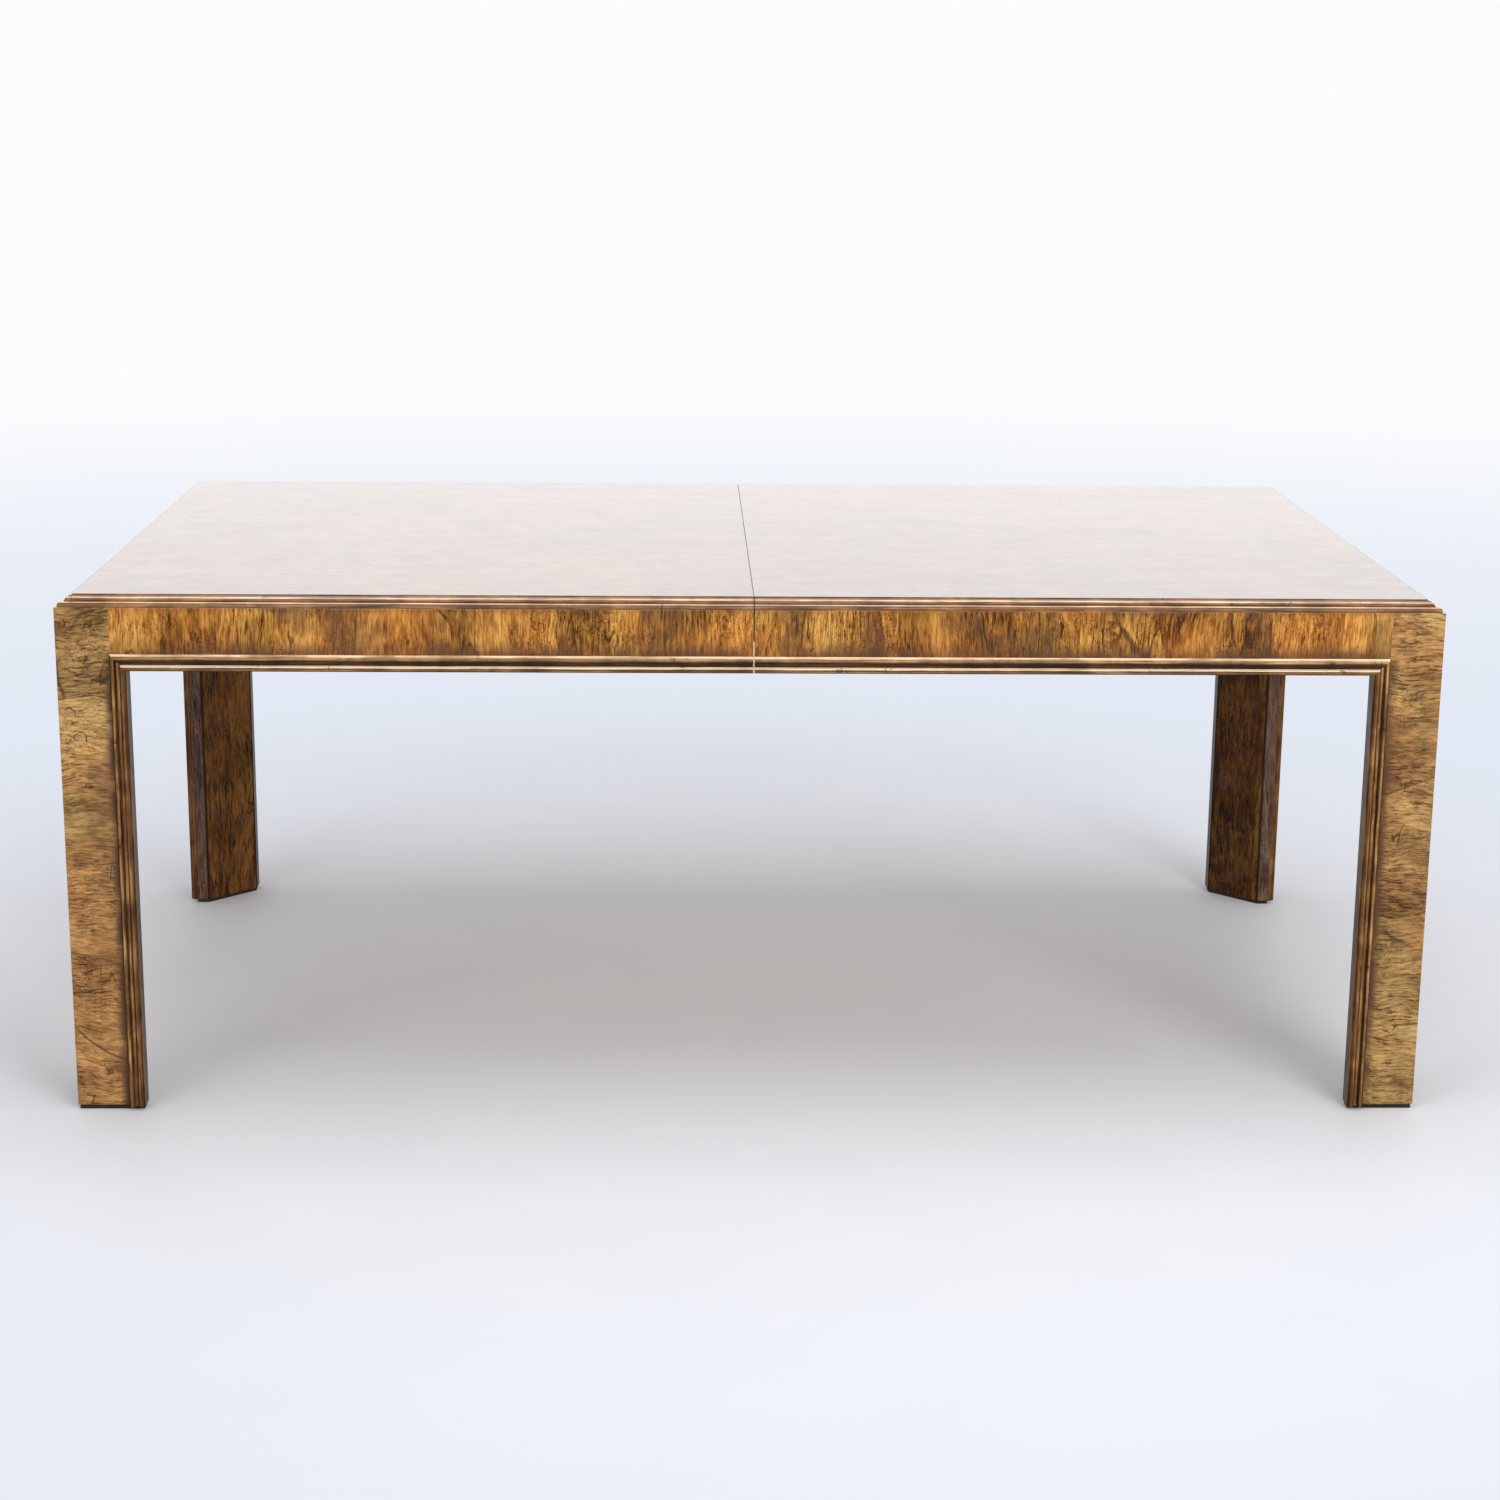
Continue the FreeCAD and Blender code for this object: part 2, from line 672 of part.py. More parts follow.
def make_corners(side):
    """The legs of a half with their strips, blocks, bolts, nuts and pads."""
    fasteners = {"leg_bolts": [], "leg_nuts": []}
    for where, y, turn in (("front", f"-{half_width}", 0), ("back", half_width, -90)):
        row = far_name(side, where)
        leg = make_leg(f"{side}_{row}_leg")
        bore_leg(leg)
        place_in_half(leg, side, f"-{half_length}", y, "0", turn)
        strips = make_leg_strips(f"{side}_{row}_leg_mouldings")
        place_in_half(strips, side, f"-{half_length}", y, "0", turn)
        make_corner_block(side, where)
        fasteners["leg_bolts"].append(in_corner("bolt_in_corner", make_bolt(), where))
        fasteners["leg_nuts"].append(in_corner("nut_in_corner", make_nut(), where))
    for name, pieces in fasteners.items():
        group = doc.addObject("Part::Compound", f"{side}_{name}")
        group.Links = pieces
        place_in_half(group, side, "0", "0", "0")
    make_foot_pads(side)


def make_cleats(side):
    """Two cleats across a half top, which carry the slides."""
    body = new_body(f"{side}_cleats")
    plan = new_sketch(body, "plan", "XY_Plane")
    inner = f"({half_width} - sizes.apron_thickness)"
    near_side = "(-sizes.cleat_near - sizes.cleat_width / 2)"
    draw_box(plan, near_side, f"{near_side} + sizes.cleat_width", f"-{inner}", inner)
    board = add_pad(body, plan, "sizes.cleat_thickness")
    add_pattern(body, [board], ("-X", "2", "sizes.cleat_far - sizes.cleat_near"))
    place_in_half(body, side, "0", "0", cleat_bottom)


def make_glue_blocks(side):
    """Six three-cornered blocks in the angle between the top and the aprons."""
    block = "sizes.glue_block_side"
    inner = f"({half_width} - sizes.apron_thickness)"
    body = new_body(f"{side}_glue_blocks")
    long_section = new_sketch(body, "long_section", "YZ_Plane", "-sizes.glue_block_near")
    for hand in ("-1", "1"):
        edge = f"{hand} * {inner}"
        draw_outline(long_section, [
            (edge, "0"), (edge, f"-{block}"), (f"{hand} * ({inner} - {block})", "0")])
    long_blocks = add_pad(body, long_section, "sizes.glue_block_length", both=True)
    step = "sizes.glue_block_far - sizes.glue_block_near"
    add_pattern(body, [long_blocks], ("-X", "2", step))
    end_face = f"(sizes.apron_thickness - {half_length})"
    end_section = new_sketch(body, "end_section", "XZ_Plane", "sizes.glue_block_end_spacing / 2")
    draw_outline(end_section, [(end_face, "0"), (end_face, f"-{block}"), (f"{end_face} + {block}", "0")])
    end_blocks = add_pad(body, end_section, "sizes.glue_block_length", both=True)
    add_pattern(body, [end_blocks], ("+Y", "2", "sizes.glue_block_end_spacing"))
    place_in_half(body, side, "0", "0", frame_top)


# A slide's own frame has its middle at x = y = 0 and z = 0 at the members' bottom edge.
dovetail_slope = "((sizes.dovetail_tip - sizes.dovetail_neck) / 2 / sizes.dovetail_depth)"
groove_depth = "(sizes.dovetail_depth - sizes.member_gap + sizes.dovetail_clearance)"
groove_mouth = (
    f"(sizes.dovetail_neck / 2 + sizes.member_gap * {dovetail_slope} + sizes.dovetail_clearance)"
)
groove_floor = f"({groove_mouth} + {groove_depth} * {dovetail_slope})"
rack_back_face = f"({pitch_radius} + {tooth_root} + sizes.rack_back)"
tip_radius = f"({pitch_radius} + {tooth_top})"
stop_distance = (
    f"(sqrt({tip_radius} ^ 2 - ({pitch_radius} - {tooth_top}) ^ 2) + 2 * sizes.running_clearance)"
)
rack_low = f"(-{stop_distance} - sizes.rack_stop)"
rack_high = f"(sizes.extension / 2 + {stop_distance} + sizes.rack_stop)"
rack_slot_low = "(sizes.gear_lift - sizes.rack_height / 2)"


def make_outer_member(side, row, y):
    """An outer member: a dovetail groove and a rack seat in its inner face."""
    body = new_body(f"{row}_slide_{side}_member")
    section = new_sketch(body, "section", "YZ_Plane")
    face = f"-{member_face}"
    back = f"({face} - sizes.member_thickness)"
    draw_outline(section, [
        (face, "0"),
        (back, "0"),
        (back, "sizes.member_height"),
        (face, "sizes.member_height"),
        (face, f"sizes.dovetail_lift + {groove_mouth}"),
        (f"{face} - {groove_depth}", f"sizes.dovetail_lift + {groove_floor}"),
        (f"{face} - {groove_depth}", f"sizes.dovetail_lift - {groove_floor}"),
        (face, f"sizes.dovetail_lift - {groove_mouth}"),
    ])
    add_pad(body, section, "sizes.slide_length", both=True)
    seat = new_sketch(body, "rack_seat", "XZ_Plane", member_face)
    draw_box(seat, rack_low, rack_high, rack_slot_low, f"{rack_slot_low} + sizes.rack_height")
    add_pocket(body, seat, f"{rack_back_face} - {member_face}", backward=True)
    relief = new_sketch(body, "relief", "XY_Plane", "sizes.member_height")
    draw_box(relief, "0", "sizes.slide_length / 2", back, face)
    add_pocket(body, relief, "sizes.member_relief")
    place_in_half(body, side, "0", y, member_bottom)


def make_middle_member(row, y):
    """The middle member: a tongue on each side and a mortise through it for the pinion."""
    body = new_body(f"{row}_slide_middle_member")
    section = new_sketch(body, "section", "YZ_Plane")
    low = "sizes.member_relief"
    high = "(sizes.member_height - sizes.member_relief)"
    half = []
    for hand in ("1", "-1"):
        face = f"{hand} * {middle_half}"
        tip = f"{hand} * ({middle_half} + sizes.dovetail_depth)"
        corners = [
            (face, low),
            (face, "sizes.dovetail_lift - sizes.dovetail_neck / 2"),
            (tip, "sizes.dovetail_lift - sizes.dovetail_tip / 2"),
            (tip, "sizes.dovetail_lift + sizes.dovetail_tip / 2"),
            (face, "sizes.dovetail_lift + sizes.dovetail_neck / 2"),
            (face, high),
        ]
        half.append(corners)
    draw_outline(section, half[0] + half[1][::-1])
    add_pad(body, section, "sizes.slide_length", both=True)
    mortise = new_sketch(body, "pinion_mortise", "XZ_Plane")
    reach = f"({tip_radius} + 4 * sizes.running_clearance)"
    rise = "(sizes.pinion_thickness / 2 + sizes.running_clearance)"
    draw_box(mortise, f"-{reach}", reach, f"sizes.gear_lift - {rise}", f"sizes.gear_lift + {rise}")
    add_pocket(body, mortise, f"2 * {middle_half}", both=True)
    pin_hole = new_sketch(body, "pin_hole", "XY_Plane", low)
    draw_circle(pin_hole, "0", "0", "sizes.pinion_pin_diameter / 2")
    add_pocket(body, pin_hole, "sizes.pinion_pin_length", backward=True)
    place(body, "0", y, member_bottom)
    parts.append(body)


def make_pinion_pin(row, y):
    """The pin that the pinion turns on, pressed up into the middle member."""
    pin = doc.addObject("Part::Cylinder", f"{row}_pinion_pin")
    pin.setExpression("Radius", "sizes.pinion_pin_diameter / 2")
    pin.setExpression("Height", "sizes.pinion_pin_length")
    place(pin, "0", y, f"{member_bottom} + sizes.member_relief")
    parts.append(pin)


def make_racks(side):
    """A half's two racks, teeth toward +Y, with a blind end at each end of the travel."""
    pitch = "(pi * sizes.gear_module)"
    body = new_body(f"{side}_racks")
    bars = new_sketch(body, "bars", "XY_Plane")
    root = f"(-{pitch_radius} - {tooth_root})"
    crest = f"({tooth_top} - {pitch_radius})"
    for row in ("0", "sizes.slide_spacing"):
        draw_outline(bars, [
            (rack_low, f"{row} - {rack_back_face}"),
            (rack_high, f"{row} - {rack_back_face}"),
            (rack_high, f"{row} + {crest}"),
            (f"{rack_high} - sizes.rack_stop", f"{row} + {crest}"),
            (f"{rack_high} - sizes.rack_stop", f"{row} + {root}"),
            (f"{rack_low} + sizes.rack_stop", f"{row} + {root}"),
            (f"{rack_low} + sizes.rack_stop", f"{row} + {crest}"),
            (rack_low, f"{row} + {crest}"),
        ])
    add_pad(body, bars, "sizes.rack_height")
    tooth = new_sketch(body, "tooth", "XY_Plane")
    lean = "tan(sizes.pressure_angle * 1 deg)"
    half_tooth = f"(({pitch} / 2 - sizes.tooth_backlash) / 2)"
    half_root = f"({half_tooth} + {tooth_root} * {lean})"
    half_crest = f"({half_tooth} - {tooth_top} * {lean})"
    middle = f"(-{pitch} / 2)"
    draw_outline(tooth, [
        (f"{middle} - {half_root}", root),
        (f"{middle} + {half_root}", root),
        (f"{middle} + {half_crest}", crest),
        (f"{middle} - {half_crest}", crest),
    ])
    one_tooth = add_pad(body, tooth, "sizes.rack_height")
    count = f"floor((sizes.extension / 2 + {stop_distance}) / {pitch}) + 1"
    add_pattern(body, [one_tooth], ("+X", count, pitch), ("+Y", "2", "sizes.slide_spacing"))
    place_in_half(body, side, "0", "-sizes.slide_spacing / 2", f"{member_bottom} + {rack_slot_low}")


def involute_flank(base_radius, foot_radius, top_radius, steps):
    """Points of an involute of the base circle from foot to top radius, as (radius, angle)."""
    points = []
    for step in range(steps + 1):
        radius = foot_radius + (top_radius - foot_radius) * step / steps
        radius = max(radius, base_radius)
        roll = math.acos(base_radius / radius)
        points.append((radius, math.tan(roll) - roll))
    return points


def make_pinion(row, y):
    """The pinion: involute teeth on a round blank, one of them toward +Y and one toward -Y."""
    teeth = int(amount("sizes.pinion_teeth"))
    pitch_r = amount(pitch_radius)
    angle = math.radians(amount("sizes.pressure_angle"))
    base_r = pitch_r * math.cos(angle)
    root_r = pitch_r - amount(tooth_root)
    top_r = pitch_r + amount(tooth_top)
    thickness = amount("sizes.pinion_thickness")
    half_tooth = math.pi / 2 / teeth - amount("sizes.tooth_backlash") / 4 / pitch_r
    half_base = half_tooth + math.tan(angle) - angle
    flank = [(root_r, 0.0)] if root_r < base_r else []
    flank += involute_flank(base_r, max(base_r, root_r), top_r, 3)
    spots = []
    for tooth in range(teeth):
        centre = math.pi / 2 + 2 * math.pi * tooth / teeth
        rising = [(radius, centre - half_base + turn) for radius, turn in flank]
        falling = [(radius, centre + half_base - turn) for radius, turn in reversed(flank)]
        for radius, turn in rising + falling:
            spots.append(FreeCAD.Vector(radius * math.cos(turn), radius * math.sin(turn), 0))
    outline = Part.makePolygon(spots + spots[:1])
    blank = Part.Face(outline).extrude(FreeCAD.Vector(0, 0, thickness))
    bore_r = amount("sizes.pinion_pin_diameter / 2 + sizes.pivot_play")
    pinion = doc.addObject("Part::Feature", f"{row}_pinion")
    pinion.Shape = blank.cut(Part.makeCylinder(bore_r, thickness))
    place(pinion, "0", y, f"{member_bottom} + sizes.gear_lift - sizes.pinion_thickness / 2")
    parts.append(pinion)


def make_pins():
    """The alignment pins: pressed into the right panel, with a chamfered nose to the left."""
    body = new_body("alignment_pins")
    half = new_sketch(body, "half_section", "XY_Plane")
    radius = "sizes.pin_diameter / 2"
    nose = f"({seam} - sizes.pin_reach)"
    draw_outline(half, [
        (nose, "0"),
        (nose, f"{radius} - sizes.pin_nose"),
        (f"{nose} + sizes.pin_nose", radius),
        (f"{seam} + sizes.pin_root", radius),
        (f"{seam} + sizes.pin_root", "0"),
    ])
    pin = add_turning(body, half, "X_Axis")
    add_pattern(body, [pin], ("+Y", str(PINS_IN_SEAM), pin_spacing))
    place(body, "0", pin_first, f"{frame_top} + sizes.panel_thickness / 2")
    parts.append(body)


# A lock's own frame has z = 0 on the plates' undersides, and x = y = 0 at the lever's post.
lever_drop = "(sizes.lock_plate / 2)"
lever_top = f"(-{lever_drop})"
lever_bottom = f"({lever_top} - sizes.lever_thickness)"
stud_end = f"({lever_bottom} - sizes.lever_play)"
post_radius = "(sizes.lock_post_diameter / 2)"
stud_radius = "(sizes.lock_stud_diameter / 2)"


def add_headed_stud(body, x, radius):
    """A stud down from a plate, with a hexagon head below the lever."""
    stud = new_sketch(body, "stud", "XY_Plane")
    draw_circle(stud, x, "0", radius)
    stud_pad = add_pad(body, stud, f"-1 * {stud_end}", backward=True)
    head = new_sketch(body, "head", "XY_Plane", stud_end)
    reach = "sizes.lock_head_width / sqrt(3)"
    turns = [f"{60 * corner} deg" for corner in range(6)]
    draw_outline(head, [(f"{x} + {reach} * cos({turn})", f"{reach} * sin({turn})") for turn in turns])
    return [stud_pad, add_pad(body, head, "sizes.lock_head_height", backward=True)]


def make_lock_plates(name, left, right, stud_x, radius):
    """Two plates under the top, one in each row, each with its headed stud."""
    body = new_body(name)
    plate = new_sketch(body, "plate", "XY_Plane")
    half = "sizes.lock_plate_width / 2"
    draw_box(plate, left, right, f"-{half}", half)
    pieces = [add_pad(body, plate, "sizes.lock_plate")]
    pieces += add_headed_stud(body, stud_x, radius)
    add_pattern(body, pieces, ("+Y", "2", f"2 * {lock_row}"))
    place(body, "-sizes.lock_setback", f"-{lock_row}", lock_level)
    parts.append(body)


def make_locks():
    """The locks: bases with posts on the left half, keepers with studs on the right half."""
    base_end = f"(sizes.lock_setback - {seam} - sizes.lock_margin)"
    base_start = f"({base_end} - sizes.lock_plate_length)"
    make_lock_plates("lock_bases", base_start, base_end, "0", post_radius)
    keeper_start = f"(sizes.lock_setback + {seam} + sizes.lock_margin)"
    keeper_end = f"({keeper_start} + sizes.keeper_length)"
    make_lock_plates("lock_keepers", keeper_start, keeper_end, "sizes.lock_reach", stud_radius)
    for row, y in (("front", f"-{lock_row}"), ("back", lock_row)):
        make_lever(row, y)


def make_lever(row, y):
    """A lock lever, open: it points to +Y, and its curved slot takes the stud as it swings."""
    half = "(sizes.lever_width / 2)"
    play = f"({stud_radius} + sizes.lever_play)"
    reach = "sizes.lock_reach"
    body = new_body(f"{row}_lock_lever")
    plan = new_sketch(body, "plan", "XY_Plane", lever_top)
    tab = f"({half} - sizes.lever_shoulder)"
    arm_end = f"({reach} + {half})"
    tab_start = f"({arm_end} + sizes.lever_shoulder)"
    tab_end = f"({arm_end} + sizes.lever_tail)"
    draw_outline(plan, [
        (f"-{half}", "0", half),
        ("0", f"-{half}", half),
        (half, "0"),
        (half, arm_end),
        (tab, tab_start),
        (tab, tab_end),
        (f"-{tab}", tab_end),
        (f"-{tab}", tab_start),
        (f"-{half}", arm_end),
    ])
    add_pad(body, plan, "sizes.lever_thickness", backward=True)
    post_hole = new_sketch(body, "post_hole", "XY_Plane", lever_top)
    draw_circle(post_hole, "0", "0", f"{post_radius} + sizes.pivot_play")
    add_pocket(body, post_hole, "sizes.lever_thickness")
    # The slot is the path of the stud round the post, from the leading edge to the middle.
    outer = f"({reach} + {play})"
    inner = f"({reach} - {play})"
    mouth = f"({half} + 1)"
    slot = new_sketch(body, "stud_slot", "XY_Plane", lever_top)
    draw_outline(slot, [
        (mouth, f"sqrt({inner} ^ 2 - {mouth} ^ 2)"),
        (mouth, f"sqrt({outer} ^ 2 - {mouth} ^ 2)", outer),
        (f"-{play} / 2", f"sqrt({outer} ^ 2 - {play} ^ 2 / 4)"),
        (f"-{play}", reach),
        (f"-{play} / 2", f"sqrt({inner} ^ 2 - {play} ^ 2 / 4)", f"-1 * {inner}"),
    ])
    add_pocket(body, slot, "sizes.lever_thickness")
    place(body, "-sizes.lock_setback", y, lock_level)
    parts.append(body)


for side in ("left", "right"):
    make_panel(side)
    make_top_edges(side)
    make_aprons(side)
    make_apron_strips(side)
    make_corners(side)
    make_cleats(side)
    make_glue_blocks(side)
    make_racks(side)
    for where, hand in (("front", "-1"), ("back", "1")):
        row_middle = f"{hand} * sizes.slide_spacing / 2"
        make_outer_member(side, far_name(side, where), row_middle)
for row, hand in (("front", "-1"), ("back", "1")):
    row_middle = f"{hand} * sizes.slide_spacing / 2"
    make_middle_member(row, row_middle)
    make_pinion_pin(row, row_middle)
    make_pinion(row, row_middle)
make_pins()
make_locks()

doc.recompute()
for item in doc.Objects:
    if "Invalid" in item.State or "Error" in item.State:
        raise ValueError(f"{item.Label}: {item.State}")
for part in parts:
    if part.Shape.isNull() or not part.Shape.isValid() or part.Shape.Volume <= 0:
        raise ValueError(f"{part.Label}: no valid shape")

os.makedirs("parts", exist_ok=True)
for part in parts:
    part.Shape.exportStep(f"parts/{part.Label}.step")
    print(part.Label, len(part.Shape.Solids), round(part.Shape.Volume))
print(len(parts), "parts")
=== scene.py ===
import math

import bmesh
import bpy
import numpy as np
from mathutils import Matrix, Vector


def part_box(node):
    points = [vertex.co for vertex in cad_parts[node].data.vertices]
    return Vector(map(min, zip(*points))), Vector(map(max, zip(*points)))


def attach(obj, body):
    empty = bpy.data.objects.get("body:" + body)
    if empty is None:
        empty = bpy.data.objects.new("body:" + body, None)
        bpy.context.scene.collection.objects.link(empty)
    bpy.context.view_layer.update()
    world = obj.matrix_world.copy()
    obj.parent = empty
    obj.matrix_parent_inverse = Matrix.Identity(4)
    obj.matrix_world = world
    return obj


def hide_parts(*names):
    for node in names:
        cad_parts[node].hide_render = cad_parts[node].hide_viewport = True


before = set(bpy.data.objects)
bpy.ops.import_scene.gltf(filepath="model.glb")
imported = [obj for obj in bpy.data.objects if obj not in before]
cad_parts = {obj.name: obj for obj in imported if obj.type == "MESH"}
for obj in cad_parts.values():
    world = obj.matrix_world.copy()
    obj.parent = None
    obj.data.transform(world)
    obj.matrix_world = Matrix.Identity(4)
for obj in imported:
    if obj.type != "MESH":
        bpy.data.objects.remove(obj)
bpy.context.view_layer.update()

# An extending parsons dining table in distressed, lacquered veneer: two half tables on two
# geared wooden slides. Metres, +X along the table, -Y the front, +Z up, floor at z = 0.

# ---------------------------------------------------------------------------------------
# Floor, surround, lamps and camera. A plain pale floor that fades into a pale surround, a
# broad lamp overhead, two in front, and one as wide as a wall behind, which the top mirrors.


class Signal:
    """A socket in a shader tree: arithmetic adds Math nodes, and node() adds any other."""

    def __init__(self, socket):
        self.socket = socket

    def node(self, kind, settings=(), inputs=(), output=0):
        """A new node of a kind: its settings are set first, then its sockets' values or links."""
        tree = self.socket.id_data
        made = tree.nodes.new(kind)
        for name, value in dict(settings).items():
            if name == "stops":
                ramp = made.color_ramp.elements
                while len(ramp) < len(value):
                    ramp.new(0.5)
                for stop, (position, colour) in zip(ramp, value):
                    stop.position = position
                    stop.color = (*colour, 1)
            else:
                setattr(made, name, value)
        for key, value in dict(inputs).items():
            if isinstance(value, Signal):
                tree.links.new(value.socket, made.inputs[key])
            else:
                made.inputs[key].default_value = value
        return Signal(made.outputs[output]) if made.outputs else None

    def twin(self, output):
        """Another output of the same node."""
        return Signal(self.socket.node.outputs[output])

    def maths(self, operation, *values):
        """A Math node on this and the values."""
        return self.node("ShaderNodeMath", {"operation": operation}, enumerate((self, *values)))

    def vector(self, operation, *values):
        """A Vector Math node on this and the values, giving its number if it makes one."""
        number = 1 if operation in ("DOT_PRODUCT", "LENGTH") else 0
        inputs = enumerate((self, *values))
        return self.node("ShaderNodeVectorMath", {"operation": operation}, inputs, number)

    def __add__(self, other):
        return self.maths("ADD", other)

    def __sub__(self, other):
        return self.maths("SUBTRACT", other)

    def __rsub__(self, other):
        return self.node("ShaderNodeMath", {"operation": "SUBTRACT"}, {0: other, 1: self})

    def __mul__(self, other):
        return self.maths("MULTIPLY", other)

    def __abs__(self):
        return self.maths("ABSOLUTE")

    __radd__ = __add__
    __rmul__ = __mul__

    def rise(self, low, high):
        """0 below low, 1 above high, and a smooth step between them."""
        inputs = {"Value": self, "From Min": low, "From Max": high}
        return self.node("ShaderNodeMapRange", {"interpolation_type": "SMOOTHSTEP"}, inputs)

    def mix(self, first, second):
        """The first colour where this is 0, the second where it is 1."""
        first, second = [c if isinstance(c, Signal) else (*c, 1) for c in (first, second)]
        inputs = {0: self, 6: first, 7: second}
        return self.node("ShaderNodeMix", {"data_type": "RGBA"}, inputs, 2)

    def ramp(self, *stops):
        """A colour read off a scale of colours by this value."""
        return self.node("ShaderNodeValToRGB", {"stops": stops}, {0: self})

    def noise(self, scale, detail=2.0, roughness=0.5):
        """Cloudy noise from 0 to 1 at this place."""
        inputs = {"Vector": self, "Scale": scale, "Detail": detail, "Roughness": roughness}
        return self.node("ShaderNodeTexNoise", (), inputs)

    def spots(self, scale):
        """The distance to the nearest of many scattered points, in cells."""
        return self.node("ShaderNodeTexVoronoi", (), {"Vector": self, "Scale": scale})

    def cracks(self, scale):
        """The distance to the edge between the cells of those points, in cells."""
        settings = {"feature": "DISTANCE_TO_EDGE"}
        return self.node("ShaderNodeTexVoronoi", settings, {"Vector": self, "Scale": scale})

    def part(self, axis):
        """One coordinate of a vector."""
        return self.node("ShaderNodeSeparateXYZ", (), {0: self}, axis)


def new_tree(owner):
    """Empties a material's or the world's shader tree, and gives its object coordinates."""
    owner.use_nodes = True
    owner.node_tree.nodes.clear()
    return Signal(owner.node_tree.nodes.new("ShaderNodeTexCoord").outputs["Object"])


def paint(*screen):
    """A colour as a screen shows it, 0 to 255, turned into amounts of light."""
    share = np.array(screen) / 255
    light = np.where(share < 0.04045, share / 12.92, ((share + 0.055) / 1.055) ** 2.4)
    return tuple(light.tolist())


def seen_rays(place):
    """1 where the camera sees this, mirrored or through glass too, and 0 where it lights things."""
    camera_ray = place.node("ShaderNodeLightPath", (), (), "Is Camera Ray")
    return camera_ray + camera_ray.twin("Is Glossy Ray") + camera_ray.twin("Is Transmission Ray")


FLOOR_HALF_SIDE = 40
FADE = (0.95, 2.4)
PALING = (2.2, 9.0)
LOW_SURROUND = paint(227, 233, 244)
SURROUND = paint(251, 252, 254)

floor_mesh = bpy.data.meshes.new("floor")
floor_corners = FLOOR_HALF_SIDE * np.array([(-1, -1, 0), (1, -1, 0), (1, 1, 0), (-1, 1, 0)])
floor_mesh.from_pydata(floor_corners.tolist(), [], [(0, 1, 2, 3)])
floor = bpy.data.objects.new("floor", floor_mesh)
bpy.context.scene.collection.objects.link(floor)

floor_material = bpy.data.materials.new("pale_floor")
spot = new_tree(floor_material)
floor_paint = spot.noise(5, 4).mix(paint(243, 245, 250), paint(237, 240, 247))
matt_floor = spot.node("ShaderNodeBsdfPrincipled", (), {"Base Color": floor_paint, "Roughness": 0.7})
distance = spot.vector("LENGTH")
glow_colour = distance.rise(*PALING).mix(LOW_SURROUND, SURROUND)
glow = spot.node("ShaderNodeEmission", (), {"Color": glow_colour})
far = distance.rise(*FADE) * seen_rays(spot)
faded = spot.node("ShaderNodeMixShader", (), {0: far, 1: matt_floor, 2: glow})
underside = spot.node("ShaderNodeNewGeometry", (), (), "Backfacing")
clear = spot.node("ShaderNodeBsdfTransparent")
one_sided = spot.node("ShaderNodeMixShader", (), {0: underside, 1: faded, 2: clear})
spot.node("ShaderNodeOutputMaterial", (), {"Surface": one_sided})
floor_mesh.materials.append(floor_material)

FILL_STRENGTH = 0.5
world = bpy.data.worlds.new("surround")
bpy.context.scene.world = world
sky = new_tree(world)
fill = sky.node("ShaderNodeBackground", (), {"Color": (*SURROUND, 1), "Strength": FILL_STRENGTH})
seen = sky.node("ShaderNodeBackground", (), {"Color": (*SURROUND, 1), "Strength": 1.0})
chosen = sky.node("ShaderNodeMixShader", (), {0: seen_rays(sky), 1: fill, 2: seen})
sky.node("ShaderNodeOutputWorld", (), {"Surface": chosen})


def add_lamp(name, place, aim, size, watts, mirrored=True):
    """A soft lamp of a width and a height at a place, turned to face the aim.

    It is never seen, and lacquer shows its image only if it is mirrored.
    """
    lamp = bpy.data.lights.new(name, "AREA")
    lamp.shape = "RECTANGLE"
    lamp.size, lamp.size_y = size
    lamp.energy = watts
    holder = bpy.data.objects.new(name, lamp)
    holder.location = place
    holder.rotation_euler = (Vector(aim) - Vector(place)).to_track_quat("-Z", "Y").to_euler()
    holder.visible_camera = False
    holder.visible_glossy = mirrored
    bpy.context.scene.collection.objects.link(holder)


add_lamp("overhead_lamp", (0.3, -0.5, 3.4), (0.3, -0.1, 0), (3.2, 2.6), 40)
add_lamp("front_left_lamp", (-2.9, -3.8, 2.1), (-0.3, 0, 0.5), (2.0, 2.0), 30, mirrored=False)
add_lamp("front_right_lamp", (2.2, -4.5, 2.2), (0.1, 0, 0.5), (2.2, 2.2), 104, mirrored=False)
add_lamp("back_wall_lamp", (0, 6, 2.6), (0, 0, 1.6), (9, 3.4), 42)

CAMERA_PLACE = (-0.1080, -4.3648, 1.4671)
YAW, PITCH, ROLL = (math.radians(angle) for angle in (1.563, 13.765, 0.540))
camera = bpy.data.objects.new("camera", bpy.data.cameras.new("camera"))
camera.data.lens = 67.13
camera.data.sensor_width = 36
level = Matrix.Rotation(-YAW, 4, "Z") @ Matrix.Rotation(math.pi / 2 - PITCH, 4, "X")
camera.matrix_world = Matrix.Translation(CAMERA_PLACE) @ level @ Matrix.Rotation(ROLL, 4, "Z")
bpy.context.scene.collection.objects.link(camera)
bpy.context.scene.camera = camera
bpy.context.scene.view_settings.view_transform = "Standard"

# ---------------------------------------------------------------------------------------
# The two top panels. Board faced with sliced, distressed veneer that runs along the table,
# under a thick gloss lacquer. The seam edges and the underside are bare board.

